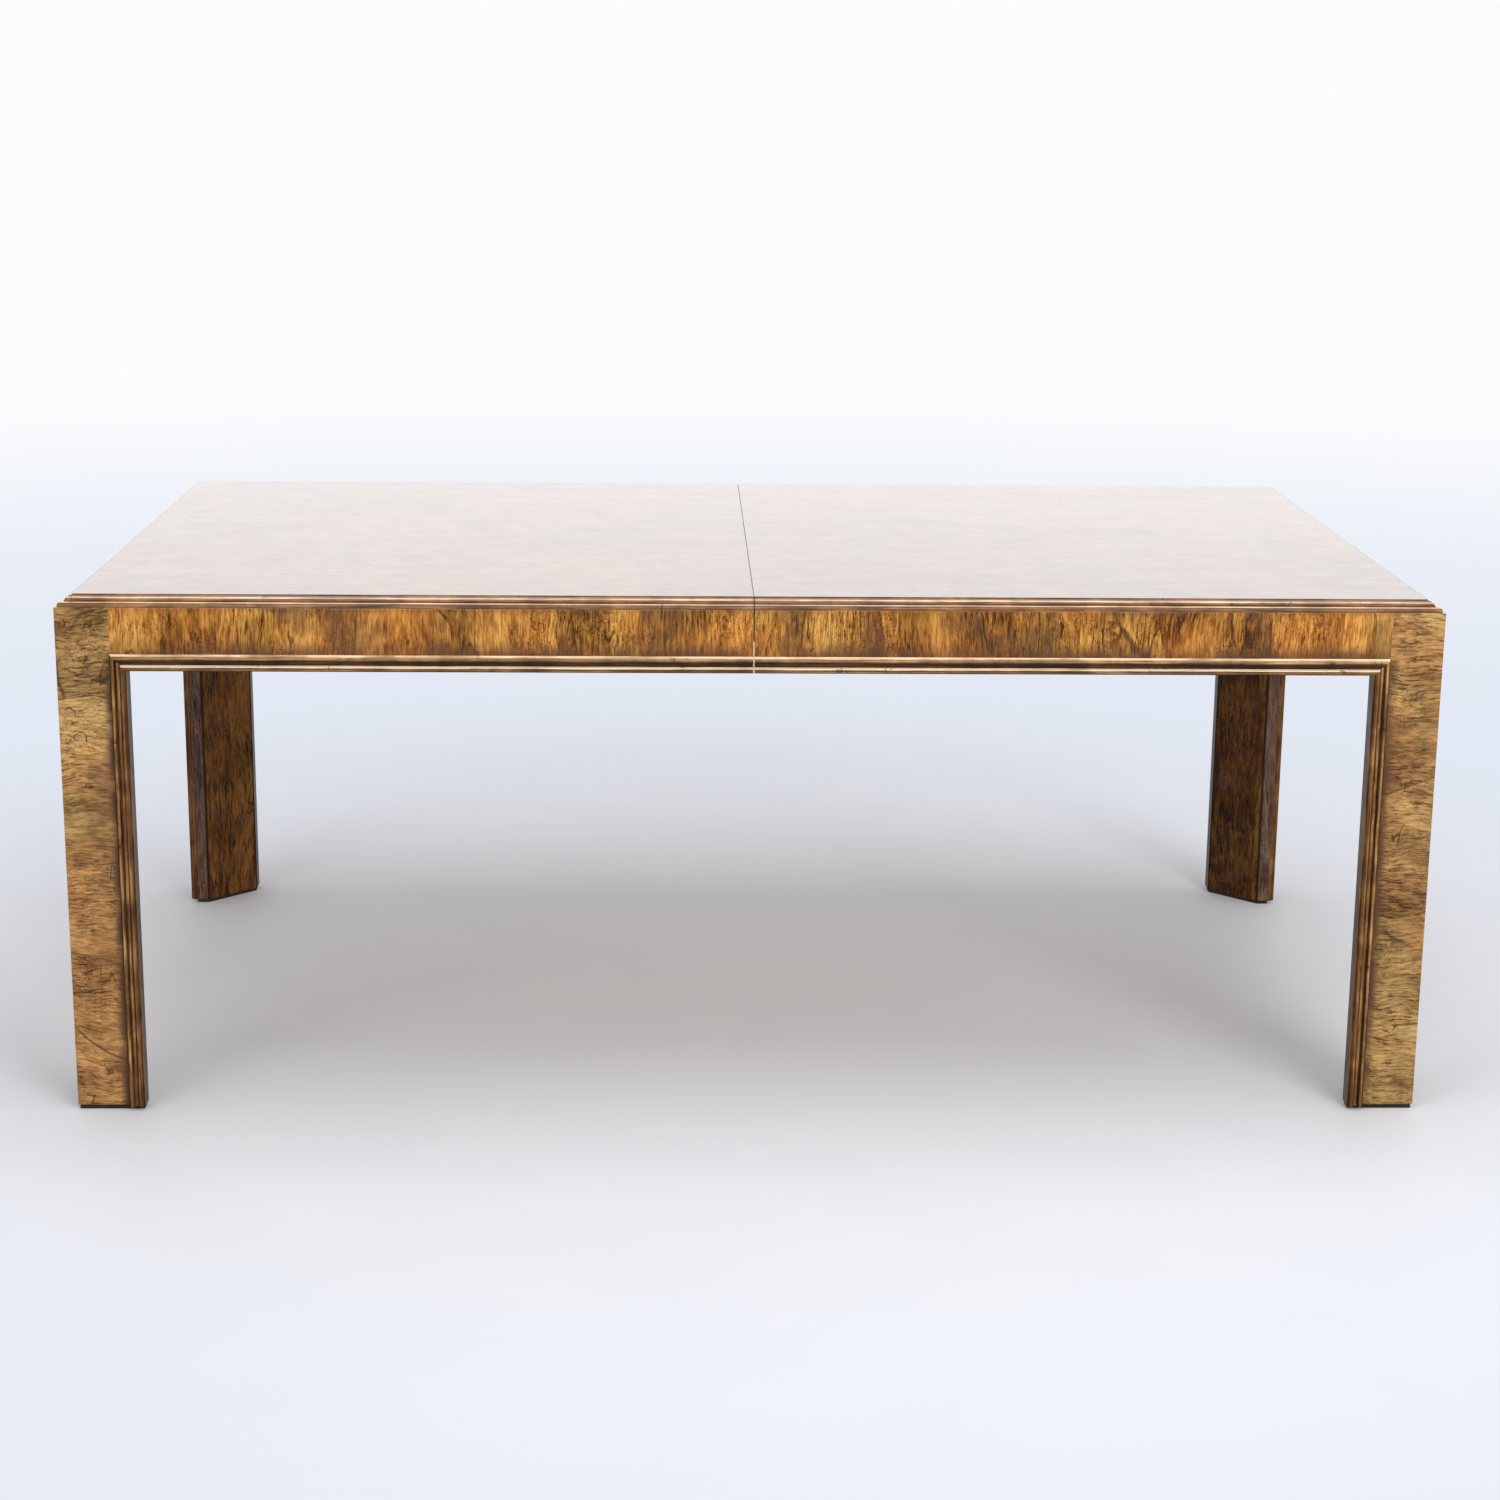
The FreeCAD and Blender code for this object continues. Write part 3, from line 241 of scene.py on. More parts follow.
SIDES = ("left", "right")
ROWS = ("front", "back")
DARK_STAIN = paint(34, 17, 6)
# A dark toner colour, used for real stain patches and also as painted shade beside the mouldings.
TONER_AND_SHADE = paint(92, 64, 46)
# Next: the colour of a painted highlight in the seam's lower part, the seam line's half widths, and the
# heights where that painted highlight gives way to the dark joint above.
PAINTED_SEAM_GLINT = paint(246, 222, 176)
SEAM_EDGE = (0.0006, 0.0014)
SEAM_GLINT_HEIGHTS = (0.686, 0.692)
ALONG_X, ALONG_Y, UPRIGHT, LEVEL = (1, 0, 0), (0, 1, 0), (0, 0, 1), (1, 1, 0)
CELL_MIDDLE = (0.5, 0.5, 0.5)


def tones_of(*screens):
    """Colours as a screen shows them, from the darkest to the lightest."""
    return [paint(*screen) for screen in screens]


def stretched(place, along, across_rate, along_rate):
    """The place scaled to so many noise cells a metre across the grain and along it."""
    return place.vector("MULTIPLY", tuple(np.where(along, along_rate, across_rate).tolist()))


def bent_by(place, rate, reach):
    """The place pushed about by cloudy noise of that rate, by up to about half the reach."""
    push = place.noise(rate, 2).twin("Color").vector("SUBTRACT", CELL_MIDDLE)
    return place.vector("ADD", push.vector("MULTIPLY", (reach, reach, reach)))


def nicks(place, amount):
    """Distressing from 0 to 1: open curved strokes, short curls, worm holes and smudges."""
    stroke = bent_by(place, 42, 0.022).spots(19)
    strokes = 1 - abs(stroke - 0.24).rise(0.006, 0.02)
    strokes = strokes * stroke.twin("Color").part(1).rise(0.95 - 0.4 * amount, 0.96 - 0.4 * amount)
    strokes = strokes * place.noise(44, 1).rise(0.48, 0.58)
    curls = 1 - abs(stretched(place, UPRIGHT, 60, 17).noise(1, 1) - 0.5).rise(0.012, 0.04)
    curls = curls * place.noise(27, 1).rise(0.72 - 0.1 * amount, 0.76 - 0.1 * amount)
    hole = place.spots(52)
    bored = hole.twin("Color").part(0).rise(0.9 - 0.4 * amount, 0.92 - 0.4 * amount)
    holes = (1 - hole.rise(0.03, 0.07)) * bored
    smudges = place.noise(15, 6, 0.75).rise(0.69, 0.78)
    return strokes.maths("MAXIMUM", curls * 0.85).maths("MAXIMUM", holes).maths("MAXIMUM", smudges * 0.7)


def at_seam(place, colour):
    """The colour, but along the joint between the halves a dark line above, and below a painted
    highlight that stands for light through the gap.
    """
    off_seam_face = 1 - abs(place.twin("Normal").part(0)).rise(0.8, 0.95)
    edge = (1 - abs(place.part(0)).rise(*SEAM_EDGE)) * off_seam_face
    # Below those heights the seam is painted pale as a highlight of light through the gap; above, it is
    # the dark joint.
    return (0.85 * edge).mix(colour, place.part(2).rise(*SEAM_GLINT_HEIGHTS).mix(PAINTED_SEAM_GLINT, DARK_STAIN))


def spread(tones):
    """Stops of a scale of colours, evenly spaced from the darkest tone to the lightest."""
    return list(zip(np.linspace(0, 1, len(tones)).tolist(), tones))


def veneer(place, along, rates, slices, bend, tones, contrast, worn):
    """The colour and the height of sliced veneer at a place.

    Slices of differing tone meet in broken dark lines. In them a figure runs along the grain,
    with dashes and pores. rates are the figure's cells a metre across and along the grain and
    slices those of the slices, bend is the rate and reach of the grain's waves, tones go from
    dark to light, and contrast says how far the figure spreads over them.
    """
    bent = bent_by(bent_by(place, *bend), 60, 0.0028)
    across, lengthwise = rates
    cut = stretched(bent, along, *slices)
    slice_tone = cut.spots(1).twin("Color").part(0)
    joins = (1 - cut.cracks(1).rise(0.002, 0.011)) * place.noise(14, 1).rise(0.42, 0.56)
    figure = stretched(bent, along, across, lengthwise).noise(1, 4, 0.6).rise(0.32, 0.68)
    dashes = stretched(bent, along, across * 13, lengthwise * 7).noise(1, 2, 0.65).rise(0.54, 0.61)
    dashes = dashes * place.noise(9, 3).rise(0.36, 0.56)
    grain = stretched(bent, along, across * 7, lengthwise * 8).noise(1, 3, 0.7).rise(0.4, 0.6)
    hairs = stretched(place, along, 800, 40).noise(1, 2, 0.6).rise(0.42, 0.64)
    burls = 1 - abs(bent.noise(150, 1) - 0.5).rise(0.01, 0.07)
    burls = burls * place.noise(13, 2).rise(0.5, 0.62)
    blotch = place.noise(10, 5, 0.62).rise(0.33, 0.67)
    light = 0.34 * slice_tone + 0.28 * figure + 0.3 * blotch + 0.3 * grain
    light = light - 0.46 * dashes - 0.2 * hairs - 0.24 * burls
    tone = (light - 0.42) * contrast + 0.5
    tint = place.noise(7, 2).rise(0.35, 0.65).mix((1.07, 0.95, 0.9), (0.95, 1.03, 1.0))
    stain = 0.5 * place.noise(17, 4).rise(0.53, 0.66)
    colour = stain.mix(tone.ramp(*spread(tones)).vector("MULTIPLY", tint), TONER_AND_SHADE)
    marks = nicks(bent, worn).maths("MAXIMUM", joins * 0.8 * contrast)
    colour = (marks * 0.82).mix(colour, DARK_STAIN)
    height = 0.15 * figure + 0.2 * grain - 0.3 * dashes - 0.2 * hairs - 0.2 * burls - marks
    return colour, height


def bare_board(place, along):
    """The colour and the height of unfinished, sawn wood."""
    rings = stretched(bent_by(place, 3, 0.05), along, 90, 2.5).noise(1, 3)
    pores = stretched(place, along, 700, 30).noise(1, 1).rise(0.55, 0.7)
    stops = (0.25, paint(150, 112, 72)), (0.5, paint(188, 152, 108)), (0.75, paint(206, 174, 130))
    colour = rings.ramp(*stops)
    return (pores * 0.4).mix(colour, paint(112, 78, 46)), 0.3 * rings - 0.4 * pores


def outside(place):
    """1 on faces that look up or away from the table's middle, 0 on those that look inwards."""
    facing = place.vector("MULTIPLY", (1, 1, 0)).vector("DOT_PRODUCT", place.twin("Normal"))
    return facing.rise(0.05, 0.15).maths("MAXIMUM", top_side(place))


def top_side(place):
    """1 on faces that look up."""
    return place.twin("Normal").part(2).rise(0.3, 0.5)


def wood(name, look, shine, coats, polish=0.1, depth=0.0004):
    """A wood material: look(place) gives its colour and its height.

    shine is the wood's own specular level, coats the clear coat's weight on upright faces
    and on those that look up, and polish the coat's roughness.
    """
    material = bpy.data.materials.new(name)
    place = new_tree(material)
    colour, height = look(place)
    inputs = {"Height": height, "Strength": 1.0, "Distance": depth}
    bump = place.node("ShaderNodeBump", (), inputs, "Normal")
    inputs = {
        "Base Color": colour,
        "Roughness": 0.32 + 0.2 * place.noise(30, 4),
        "Specular IOR Level": shine,
        "Coat Weight": coats[0] + (coats[1] - coats[0]) * top_side(place),
        "Coat Roughness": polish,
        "Normal": bump,
    }
    surface = place.node("ShaderNodeBsdfPrincipled", (), inputs)
    place.node("ShaderNodeOutputMaterial", (), {"Surface": surface})
    return material


def finish(material, *nodes):
    """Gives the CAD nodes this material."""
    for node in nodes:
        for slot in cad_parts[node].material_slots:
            slot.material = material


def faced(place, facing, inner, outer):
    """One look where facing is 0 and another where it is 1."""
    return facing.mix(inner[0], outer[0]), inner[1] + facing * (outer[1] - inner[1])


TOP_TONES = tones_of((60, 36, 18), (94, 62, 34), (120, 84, 48), (142, 102, 60), (160, 120, 74))


def top_look(place):
    """Long, quiet veneer above, bare board below."""
    colour, height = veneer(
        place, ALONG_X, rates=(16, 2.2), slices=(3.1, 1.1), bend=(3, 0.06),
        tones=TOP_TONES, contrast=0.55, worn=0.25,
    )
    return faced(place, top_side(place), bare_board(place, ALONG_X), (at_seam(place, colour), height))


top_veneer = wood("top_veneer", top_look, shine=0.5, coats=(0.1, 1), polish=0.06, depth=0.00012)
finish(top_veneer, "left_top_panel", "right_top_panel")

# ---------------------------------------------------------------------------------------
# The stepped stick round the top's edge: a fillet, an ovolo, a step and a bead, mitred at
# the corners. Solid wood stained reddish brown, with painted shade in the quirks and painted
# highlight lines on its rounds, whose arrises are also rubbed.

PANEL_END, PANEL_SIDE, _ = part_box("right_top_panel")[1]
EDGE_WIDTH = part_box("right_top_edge_end")[1].x - PANEL_END
# The lightest of these tones serves as painted highlight. Across the stick from the top's edge, the low
# values below are painted shade in the quirks, and the values near 1 are painted highlight lines, partly
# rubbed wear.
EDGE_TONES = tones_of((42, 22, 8), (106, 66, 34), (156, 110, 66), (208, 166, 118), (252, 228, 194))
LIGHT_AND_RUB_ACROSS_EDGE = (
    (0, 0), (0.05, 0.15), (0.09, 0.35), (0.36, 0.4), (0.39, 1), (0.45, 1), (0.48, 0.45), (0.55, 0.35),
    (0.57, 0.1), (0.6, 0.4), (0.76, 0.45), (0.8, 1), (0.89, 1), (0.92, 0.4), (0.955, 0.12), (0.98, 0.45),
)


def beyond(place, end, side):
    """How far a place lies outside a rectangle of that half length and half width."""
    past_end = abs(place.part(0)) - end
    return past_end.maths("MAXIMUM", abs(place.part(1)) - side)


def moulded(place, along, tones, light_and_rub):
    """The colour and the height of stained moulding, from a value that is low in its quirks and recesses
    as painted shade, and high on its beads and arrises as painted highlight and rubbed wear.
    """
    lines = stretched(bent_by(place, 9, 0.01), along, 320, 9).noise(1, 4, 0.6).rise(0.35, 0.65)
    blotch = place.noise(16, 5, 0.62).rise(0.35, 0.65)
    tone = 0.82 * light_and_rub + 0.26 * (lines - 0.5) + 0.22 * (blotch - 0.5)
    marks = nicks(place, 0.8)
    colour = (marks * 0.75).mix(tone.ramp(*spread(tones)), DARK_STAIN)
    return at_seam(place, colour), 0.3 * lines - marks


def lit_and_rubbed(share, profile):
    """How lit and how rubbed a moulding is at a share of its width, read off a list of shares and
    values: painted shade where low, painted highlight and rubbed wear where high.
    """
    return share.ramp(*((position, (light_and_rub, light_and_rub, light_and_rub)) for position, light_and_rub in profile))


def edge_look(along):
    """The stained stick round the top, its grain along it, with painted shade and painted highlight
    lines across it.
    """

    def look(place):
        across = beyond(place, PANEL_END, PANEL_SIDE) * (1 / EDGE_WIDTH)
        return moulded(place, along, EDGE_TONES, lit_and_rubbed(across, LIGHT_AND_RUB_ACROSS_EDGE))

    return look


for where, along in (("front", ALONG_X), ("back", ALONG_X), ("end", ALONG_Y)):
    stick = wood(f"top_moulding_{where}", edge_look(along), shine=0.3, coats=(0.3, 1))
    finish(stick, *(f"{side}_top_edge_{where}" for side in SIDES))

# ---------------------------------------------------------------------------------------
# The aprons: board faced with veneer whose grain stands upright, darkened along the
# lower edge and under the top, partly by toner and partly as painted shade. Behind, they are bare.

FRAME_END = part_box("right_apron_end")[1].x
FRAME_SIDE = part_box("right_apron_back")[1].y
STRIP_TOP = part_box("right_apron_moulding_end")[1].z
FRAME_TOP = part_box("right_apron_end")[1].z
APRON_TONES = tones_of((70, 38, 10), (112, 68, 24), (150, 98, 42), (184, 128, 58), (216, 160, 84))


def toned_and_shaded(look, place, shade):
    """A look darkened where the shade is, thinner here and there: partly dark toner and partly painted
    shade.
    """
    cloud = 0.45 + 0.55 * place.noise(26, 3).rise(0.35, 0.6)
    return at_seam(place, (shade * cloud).mix(look[0], TONER_AND_SHADE)), look[1]


def apron_look(place):
    """Upright veneer outside, darkened along both edges by toner and painted shade, and bare board
    inside.
    """
    figured = veneer(
        place, UPRIGHT, rates=(34, 5), slices=(19, 1.3), bend=(6, 0.03),
        tones=APRON_TONES, contrast=1.05, worn=0.8,
    )
    height = place.part(2)
    # Toner and painted shade: darker just above the beads and just under the top's overhang.
    shade = (1 - height.rise(STRIP_TOP, STRIP_TOP + 0.028)) * 0.85
    shade = shade + height.rise(FRAME_TOP - 0.009, FRAME_TOP) * 0.3
    return faced(place, outside(place), bare_board(place, LEVEL), toned_and_shaded(figured, place, shade))


apron_veneer = wood("apron_veneer", apron_look, shine=0.08, coats=(0.06, 0.8))
finish(apron_veneer, *(f"{side}_apron_{where}" for side in SIDES for where in ("front", "back", "end")))

# ---------------------------------------------------------------------------------------
# The double beads under the aprons and down the legs. Solid moulding, nearly black in the
# recess and the quirks as painted shade, and gold on the beads as painted highlight and rubbed wear.

# The lightest tones serve as painted highlight. In the lists below, low values are painted shade in the
# recess, the quirks and the inner sides, and high ones are painted highlights on the beads and the
# ledge, partly rubbed wear.
STRIP_TONES = tones_of((34, 17, 5), (80, 50, 22), (128, 88, 46), (190, 146, 96), (255, 232, 196))
STRIP_WIDTH = 0.023
FACE_WIDTH = 0.074
LEG_INNER_X, LEG_INNER_Y = FRAME_END - FACE_WIDTH, FRAME_SIDE - FACE_WIDTH
LIGHT_AND_RUB_DOWN_APRON_STRIP = (
    (0, 1.2), (0.08, 1.2), (0.11, 0.55), (0.2, 0.75), (0.26, 0.4), (0.33, 0.1), (0.61, 0.08),
    (0.64, 1.3), (0.7, 1.3), (0.75, 0.45), (0.84, 0.4), (0.87, 0.85), (0.9, 0.35), (1, 0.2),
)
LIGHT_AND_RUB_ACROSS_LEG_STRIP = (
    (0, 0.2), (0.07, 0.12), (0.12, 0.4), (0.18, 0.68), (0.27, 0.6), (0.33, 0.12), (0.38, 0.34),
    (0.46, 0.66), (0.56, 0.64), (0.61, 0.12), (0.67, 0.32), (0.74, 0.6), (0.82, 0.44), (0.92, 0.4),
)


def strip_look(along, light_and_rub_across):
    """Stained moulding, with painted shade, painted highlight and rubbed wear read off across the strip
    from its outer edge.
    """

    def look(place):
        past_end, past_side = abs(place.part(0)) - FRAME_END, abs(place.part(1)) - FRAME_SIDE
        on_side = past_side.maths("GREATER_THAN", past_end)
        if along == UPRIGHT:
            inwards = on_side * (0 - past_end) + (1 - on_side) * (0 - past_side) - FACE_WIDTH
        else:
            inwards = STRIP_TOP - place.part(2)
        return moulded(place, along, STRIP_TONES, lit_and_rubbed(inwards * (1 / STRIP_WIDTH), light_and_rub_across))

    return look


for where, along in (("front", ALONG_X), ("back", ALONG_X), ("end", ALONG_Y)):
    look = strip_look(along, LIGHT_AND_RUB_DOWN_APRON_STRIP)
    strip = wood(f"apron_moulding_{where}", look, shine=0.2, coats=(0.15, 1))
    finish(strip, *(f"{side}_apron_moulding_{where}" for side in SIDES))
look = strip_look(UPRIGHT, LIGHT_AND_RUB_ACROSS_LEG_STRIP)
leg_strip = wood("leg_moulding", look, shine=0.12, coats=(0.08, 0.8))
finish(leg_strip, *(f"{side}_{row}_leg_mouldings" for side in SIDES for row in ROWS))

# ---------------------------------------------------------------------------------------
# The legs: outside, burred veneer laid in level slices and darkened beside the beads, partly
# by toner and partly as painted shade; inside, upright veneer painted dark as shade, also on
# the face that cuts the inner corner.

LEG_TONES = tones_of((78, 52, 26), (120, 88, 50), (154, 116, 71), (184, 142, 89), (212, 171, 110))
# The inside tones are painted dark as the shade under the table.
SHADED_INNER_TONES = tones_of((22, 10, 2), (48, 27, 8), (78, 48, 17), (104, 69, 28), (132, 92, 42))
SHADED_BESIDE_TONES = tones_of((28, 18, 14), (58, 42, 34), (84, 64, 54), (106, 84, 70), (134, 108, 88))
DIAGONAL_START = 0.022
LEG_SHIFT = (2.1, 1.9, 5.4)


def leg_look(place):
    """Level slices outside, upright veneer inside painted dark as shade, and dark lines where the two
    meet.
    """
    level = veneer(
        place.vector("ADD", LEG_SHIFT), LEVEL, rates=(30, 7), slices=(9, 2.4), bend=(7, 0.06),
        tones=LEG_TONES, contrast=0.9, worn=0.6,
    )
    # Toner and painted shade: darker on the leg's face next to the beads.
    from_end = abs(place.part(0)) - LEG_INNER_X
    from_strip = from_end.maths("MINIMUM", abs(place.part(1)) - LEG_INNER_Y)
    below = 1 - place.part(2).rise(STRIP_TOP - 0.01, STRIP_TOP + 0.005)
    shade = (1 - from_strip.rise(0.001, 0.014)) * below
    upright = veneer(
        place, UPRIGHT, rates=(26, 4), slices=(16, 0.8), bend=(5, 0.03),
        tones=SHADED_INNER_TONES, contrast=1.0, worn=0.6,
    )
    beside = veneer(
        place, UPRIGHT, rates=(26, 3), slices=(16, 0.8), bend=(5, 0.01),
        tones=SHADED_BESIDE_TONES, contrast=0.8, worn=0.2,
    )
    normal = place.twin("Normal")
    diagonal = (normal.part(0) * normal.part(1)).maths("ABSOLUTE").rise(0.2, 0.3)
    colour, height = faced(place, diagonal, beside, upright)
    inwards_x, inwards_y = FRAME_END - abs(place.part(0)), FRAME_SIDE - abs(place.part(1))
    near_edge = abs(inwards_x.maths("MINIMUM", inwards_y) - DIAGONAL_START)
    from_beads = abs(inwards_x.maths("MAXIMUM", inwards_y) - FACE_WIDTH - STRIP_WIDTH)
    near_edge = near_edge.maths("MAXIMUM", from_beads)
    inner = (0.9 - 0.9 * near_edge.rise(0.001, 0.003)).mix(colour, DARK_STAIN), height
    return faced(place, outside(place), inner, toned_and_shaded(level, place, shade))


leg_veneer = wood("leg_veneer", leg_look, shine=0.08, coats=(0.06, 0.8))
finish(leg_veneer, *(f"{side}_{row}_leg" for side in SIDES for row in ROWS))

# ---------------------------------------------------------------------------------------
# The pads under the feet. Matt black plastic, scuffed grey in patches.

pad_material = bpy.data.materials.new("foot_plastic")
spot = new_tree(pad_material)
scuffs = spot.noise(90, 5, 0.7)
pad_colour = scuffs.ramp((0.45, paint(16, 15, 14)), (0.75, paint(48, 44, 40)))
grain_inputs = {"Height": spot.noise(1400, 2), "Strength": 0.4, "Distance": 0.0002}
grain = spot.node("ShaderNodeBump", (), grain_inputs, "Normal")
pad_inputs = {"Base Color": pad_colour, "Roughness": 0.6 + 0.2 * scuffs, "Normal": grain}
pad_surface = spot.node("ShaderNodeBsdfPrincipled", (), pad_inputs)
spot.node("ShaderNodeOutputMaterial", (), {"Surface": pad_surface})
finish(pad_material, *(f"{side}_foot_pads" for side in SIDES))

# ---------------------------------------------------------------------------------------
# Blocks, cleats and slides. Bare sawn hardwood; the slides are planed and waxed.


def bare_look(along):
    """Sawn wood whose grain runs along."""
    return lambda place: bare_board(place, along)


block_wood = wood("block_wood", bare_look(LEVEL), shine=0.2, coats=(0, 0))
cleat_wood = wood("cleat_wood", bare_look(ALONG_Y), shine=0.2, coats=(0, 0))
slide_wood = wood("slide_wood", bare_look(ALONG_X), shine=0.3, coats=(0.15, 0.15), polish=0.3)
pin_wood = wood("pin_wood", bare_look(ALONG_X), shine=0.3, coats=(0.1, 0.1), polish=0.3)
finish(block_wood, *(f"{side}_{row}_corner_block" for side in SIDES for row in ROWS))
finish(block_wood, *(f"{side}_glue_blocks" for side in SIDES))
finish(cleat_wood, *(f"{side}_cleats" for side in SIDES))
for part in ("left", "middle", "right"):
    finish(slide_wood, *(f"{row}_slide_{part}_member" for row in ROWS))
finish(pin_wood, "alignment_pins")

# ---------------------------------------------------------------------------------------
# Screws. Pan-headed ones hold the slides to the cleats, the cleats to the top and the blocks
# to the aprons; flat-headed ones hold the lock plates. Zinc plated steel, cross recess.


def steel(name, light, dark, roughness):
    """Plated or oiled steel: two close tones in clouds, and fine scratches."""
    material = bpy.data.materials.new(name)
    place = new_tree(material)
    cloud = place.noise(60, 5, 0.65)
    scratches = stretched(place, LEVEL, 2400, 160).noise(1, 2)
    inputs = {"Height": scratches, "Strength": 0.3, "Distance": 0.00005}
    bump = place.node("ShaderNodeBump", (), inputs, "Normal")
    inputs = {
        "Base Color": cloud.rise(0.3, 0.7).mix(dark, light),
        "Metallic": 1.0,
        "Roughness": roughness + 0.25 * cloud,
        "Normal": bump,
    }
    surface = place.node("ShaderNodeBsdfPrincipled", (), inputs)
    place.node("ShaderNodeOutputMaterial", (), {"Surface": surface})
    return material


MERGE_DISTANCE = 1e-6
SHARP_ANGLE = math.radians(40)


def turned(radius, height):
    """Points round Z from radii and heights, each given down the rows and round the turn."""
    radius, height = np.broadcast_arrays(radius, height)
    angle = np.linspace(0, 2 * np.pi, radius.shape[1], endpoint=False)
    return np.stack([radius * np.cos(angle), radius * np.sin(angle), height], -1)


def standing(place, axis):
    """The 4x4 frame of a piece set down at a place with its own Z along the axis."""
    return Matrix.Translation(place) @ Vector(axis).to_track_quat("Z", "Y").to_matrix().to_4x4()


def add_copies(name, shape, stands, body, material):
    """One object of closed copies of a shape of ringed rows, one for each stand."""
    rows, columns = shape.shape[:2]
    points = shape.reshape(-1, 3)
    frames = np.array([np.array(stand) for stand in stands])
    placed = np.einsum("nij,pj->npi", frames[:, :3, :3], points) + frames[:, None, :3, 3]
    row, column = np.meshgrid(np.arange(rows - 1) * columns, np.arange(columns), indexing="ij")
    onward = (column + 1) % columns
    ring = np.stack([row + column, row + onward, row + columns + onward, row + columns + column], -1)
    faces = ring.reshape(1, -1, 4) + len(points) * np.arange(len(frames)).reshape(-1, 1, 1)
    mesh = bpy.data.meshes.new(name)
    mesh.from_pydata(placed.reshape(-1, 3).tolist(), [], faces.reshape(-1, 4).tolist())
    shell = bmesh.new()
    shell.from_mesh(mesh)
    bmesh.ops.remove_doubles(shell, verts=shell.verts, dist=MERGE_DISTANCE)
    bmesh.ops.recalc_face_normals(shell, faces=shell.faces)
    shell.to_mesh(mesh)
    shell.free()
    mesh.shade_smooth()
    mesh.set_sharp_from_angle(angle=SHARP_ANGLE)
    mesh.materials.append(material)
    piece = bpy.data.objects.new(name, mesh)
    bpy.context.scene.collection.objects.link(piece)
    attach(piece, body)
    return piece


def screw_head(radius, rim, crown, recess):
    """A head over Z = 0: a rim, an elliptical crown, and a cross sunk into it.

    The crown's height is the ellipse's; the cross takes its depth from it wherever either
    coordinate is within an arm's half width and the other within the arm's reach.
    """
    turn = np.linspace(0, np.pi / 2, 13).reshape(-1, 1)
    across = np.concatenate([[[0], [radius], [radius]], radius * np.cos(turn)])
    up = np.concatenate([[[-0.0002], [-0.0002], [rim]], rim + crown * np.sin(turn)])
    head = turned(across, up + np.zeros((1, 32)))
    arm, slope, reach = 0.13 * radius, 0.07 * radius, 0.6 * radius
    x, y = np.abs(head[..., 0]), np.abs(head[..., 1])

    def sunk(beside, along_arm):
        """The share of the recess's depth at these distances from one arm's middle."""
        return np.clip((arm + slope - beside) / slope, 0, 1) * np.clip((reach - along_arm) / slope, 0, 1)

    rim_row = 3
    on_crown = np.arange(len(head)).reshape(-1, 1) > rim_row
    head[..., 2] -= recess * np.maximum(sunk(x, y), sunk(y, x)) * on_crown
    return head


PLATED_STEEL = steel("plated_steel", paint(206, 202, 190), paint(168, 160, 140), 0.22)
GEAR_STEEL = steel("gear_steel", paint(150, 148, 144), paint(104, 98, 90), 0.3)
DOWN = (0, 0, -1)
pan_head = screw_head(radius=0.0045, rim=0.0008, crown=0.0022, recess=0.0016)
flat_head = screw_head(radius=0.0038, rim=0.0001, crown=0.0003, recess=0.0009)
finish(PLATED_STEEL, "lock_bases", "lock_keepers", *(f"{row}_lock_lever" for row in ROWS))
finish(PLATED_STEEL, *(f"{side}_leg_nuts" for side in SIDES), *(f"{row}_pinion_pin" for row in ROWS))
finish(GEAR_STEEL, *(f"{side}_racks" for side in SIDES), *(f"{row}_pinion" for row in ROWS))

CLEAT_WIDTH = 0.06
CLEAT_SCREW_ROWS = (-0.49, -0.38, -0.17, -0.06, 0.06, 0.17, 0.38, 0.49)
BLOCK_SCREW_SPOTS = ((-0.058, -0.016), (-0.058, 0.016), (0.058, -0.016), (0.058, 0.016))
corners = {}
for side in SIDES:
    low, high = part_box(f"{side}_cleats")
    boards = (low.x + CLEAT_WIDTH / 2, high.x - CLEAT_WIDTH / 2)
    stands = [standing((x, y, low.z), DOWN) for x in boards for y in CLEAT_SCREW_ROWS]
    add_copies(f"{side}_cleat_screws", pan_head, stands, f"{side}_half", PLATED_STEEL)
    stands = []
    for row in ROWS:
        member_low, member_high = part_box(f"{row}_slide_{side}_member")
        y = (member_low.y + member_high.y) / 2
        stands += [standing((x, y, member_low.z), DOWN) for x in boards]
    add_copies(f"{side}_slide_screws", pan_head, stands, f"{side}_half", PLATED_STEEL)
    stands = []
    for row in ROWS:
        low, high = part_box(f"{side}_{row}_corner_block")
        middle = (low + high) / 2
        inward = Vector((-math.copysign(1, middle.x), -math.copysign(1, middle.y), 0)).normalized()
        sideways = inward.cross(Vector((0, 0, 1)))
        corners[side, row] = middle, inward
        stands += [
            standing(middle + across * sideways + Vector((0, 0, up)), inward)
            for across, up in BLOCK_SCREW_SPOTS
        ]
    add_copies(f"{side}_block_screws", pan_head, stands, f"{side}_half", PLATED_STEEL)

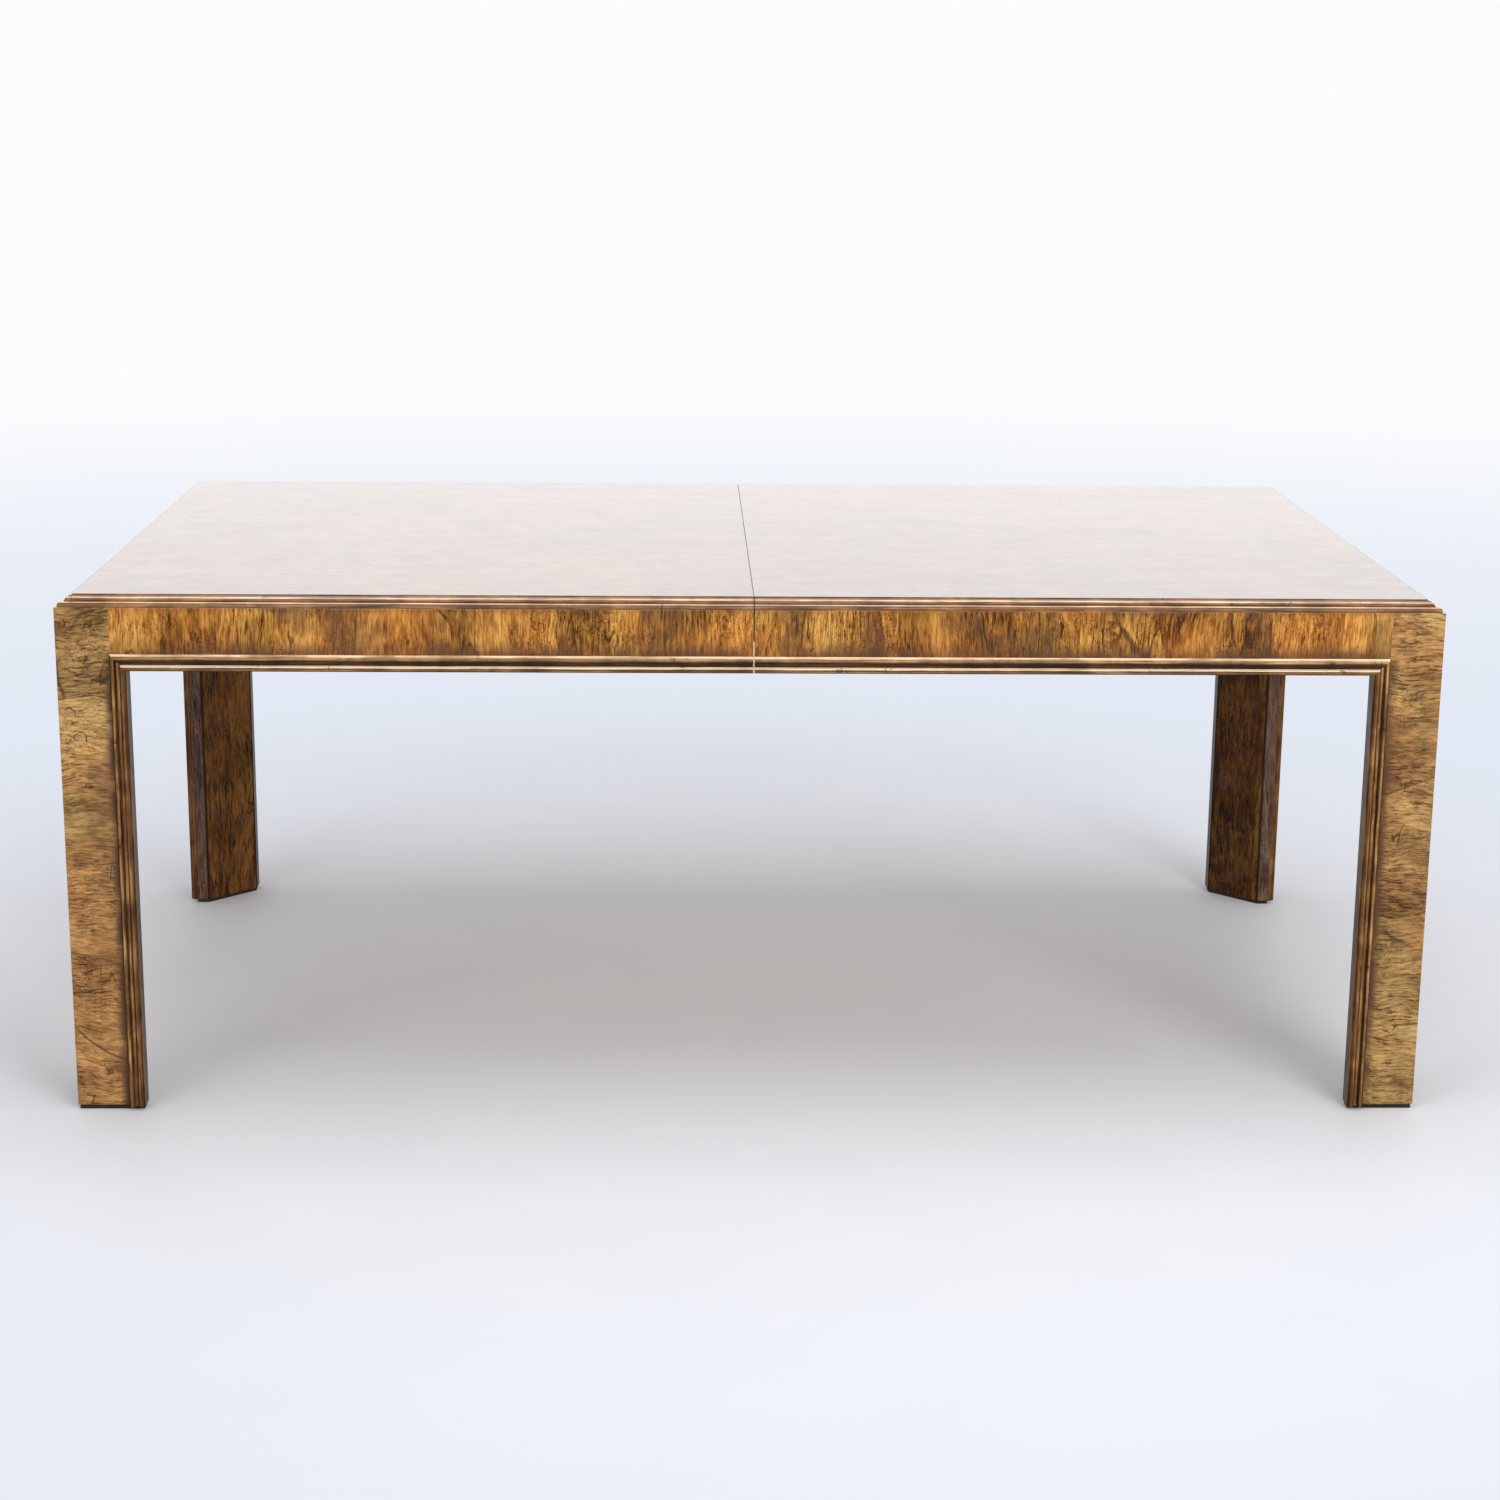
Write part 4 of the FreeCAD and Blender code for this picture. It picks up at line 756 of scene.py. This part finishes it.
PLATE_THICKNESS, PLATE_WIDTH, PLATE_INSET = 0.002, 0.04, 0.006
for node, body in (("lock_bases", "left_half"), ("lock_keepers", "right_half")):
    low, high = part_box(node)
    lengthwise = (low.x + PLATE_INSET, high.x - PLATE_INSET)
    front_edges, back_edges = (low.y, low.y + PLATE_WIDTH), (high.y - PLATE_WIDTH, high.y)
    crosswise = [
        edge + sign * PLATE_INSET
        for edges in (front_edges, back_edges)
        for edge, sign in zip(edges, (1, -1))
    ]
    stands = [standing((x, y, high.z - PLATE_THICKNESS), DOWN) for x in lengthwise for y in crosswise]
    add_copies(f"{node}_screws", flat_head, stands, body, PLATED_STEEL)

# ---------------------------------------------------------------------------------------
# The hanger bolts that hold the legs, with a washer under each nut. Zinc plated steel with a
# machine thread on the end that shows.

BOLT_LENGTH, BOLT_END, BOLT_RADIUS = 0.089, 0.016, 0.004
THREAD_PITCH, THREAD_DEPTH, THREAD_LENGTH = 0.00125, 0.0007, 0.04
BOLT_CHAMFER = 0.001
ROWS_A_PITCH = 6
rise_rows = np.linspace(0, BOLT_LENGTH, int(BOLT_LENGTH / THREAD_PITCH * ROWS_A_PITCH)).reshape(-1, 1)
turn_share = np.linspace(0, 1, 20, endpoint=False).reshape(1, -1)
tooth = np.abs((rise_rows / THREAD_PITCH - turn_share) % 1 - 0.5) * 2
threaded = rise_rows > BOLT_LENGTH - THREAD_LENGTH
chamfer = np.clip(np.minimum(rise_rows, BOLT_LENGTH - rise_rows) / BOLT_CHAMFER, 0, 1)
bolt_radius = (BOLT_RADIUS - THREAD_DEPTH * tooth * threaded) * (0.75 + 0.25 * chamfer)
bolt_radius[0] = bolt_radius[-1] = 0
bolt = turned(bolt_radius, rise_rows)
WASHER_HOLE, WASHER_RADIUS, WASHER_THICKNESS = 0.0078, 0.011, 0.0012
washer_across = np.array([[WASHER_HOLE], [WASHER_RADIUS], [WASHER_RADIUS], [WASHER_HOLE], [WASHER_HOLE]])
washer_up = np.array([[0], [0], [WASHER_THICKNESS], [WASHER_THICKNESS], [0]])
washer = turned(washer_across, washer_up + np.zeros((1, 40)))
for side in SIDES:
    stands = []
    washer_stands = []
    for row in ROWS:
        middle, inward = corners[side, row]
        stands.append(standing(middle - (BOLT_LENGTH - BOLT_END) * inward, inward))
        washer_stands.append(standing(middle, inward))
    bolts = add_copies(f"{side}_hanger_bolts", bolt, stands, f"{side}_half", PLATED_STEEL)
    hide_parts(f"{side}_leg_bolts")
    add_copies(f"{side}_washers", washer, washer_stands, f"{side}_half", PLATED_STEEL)
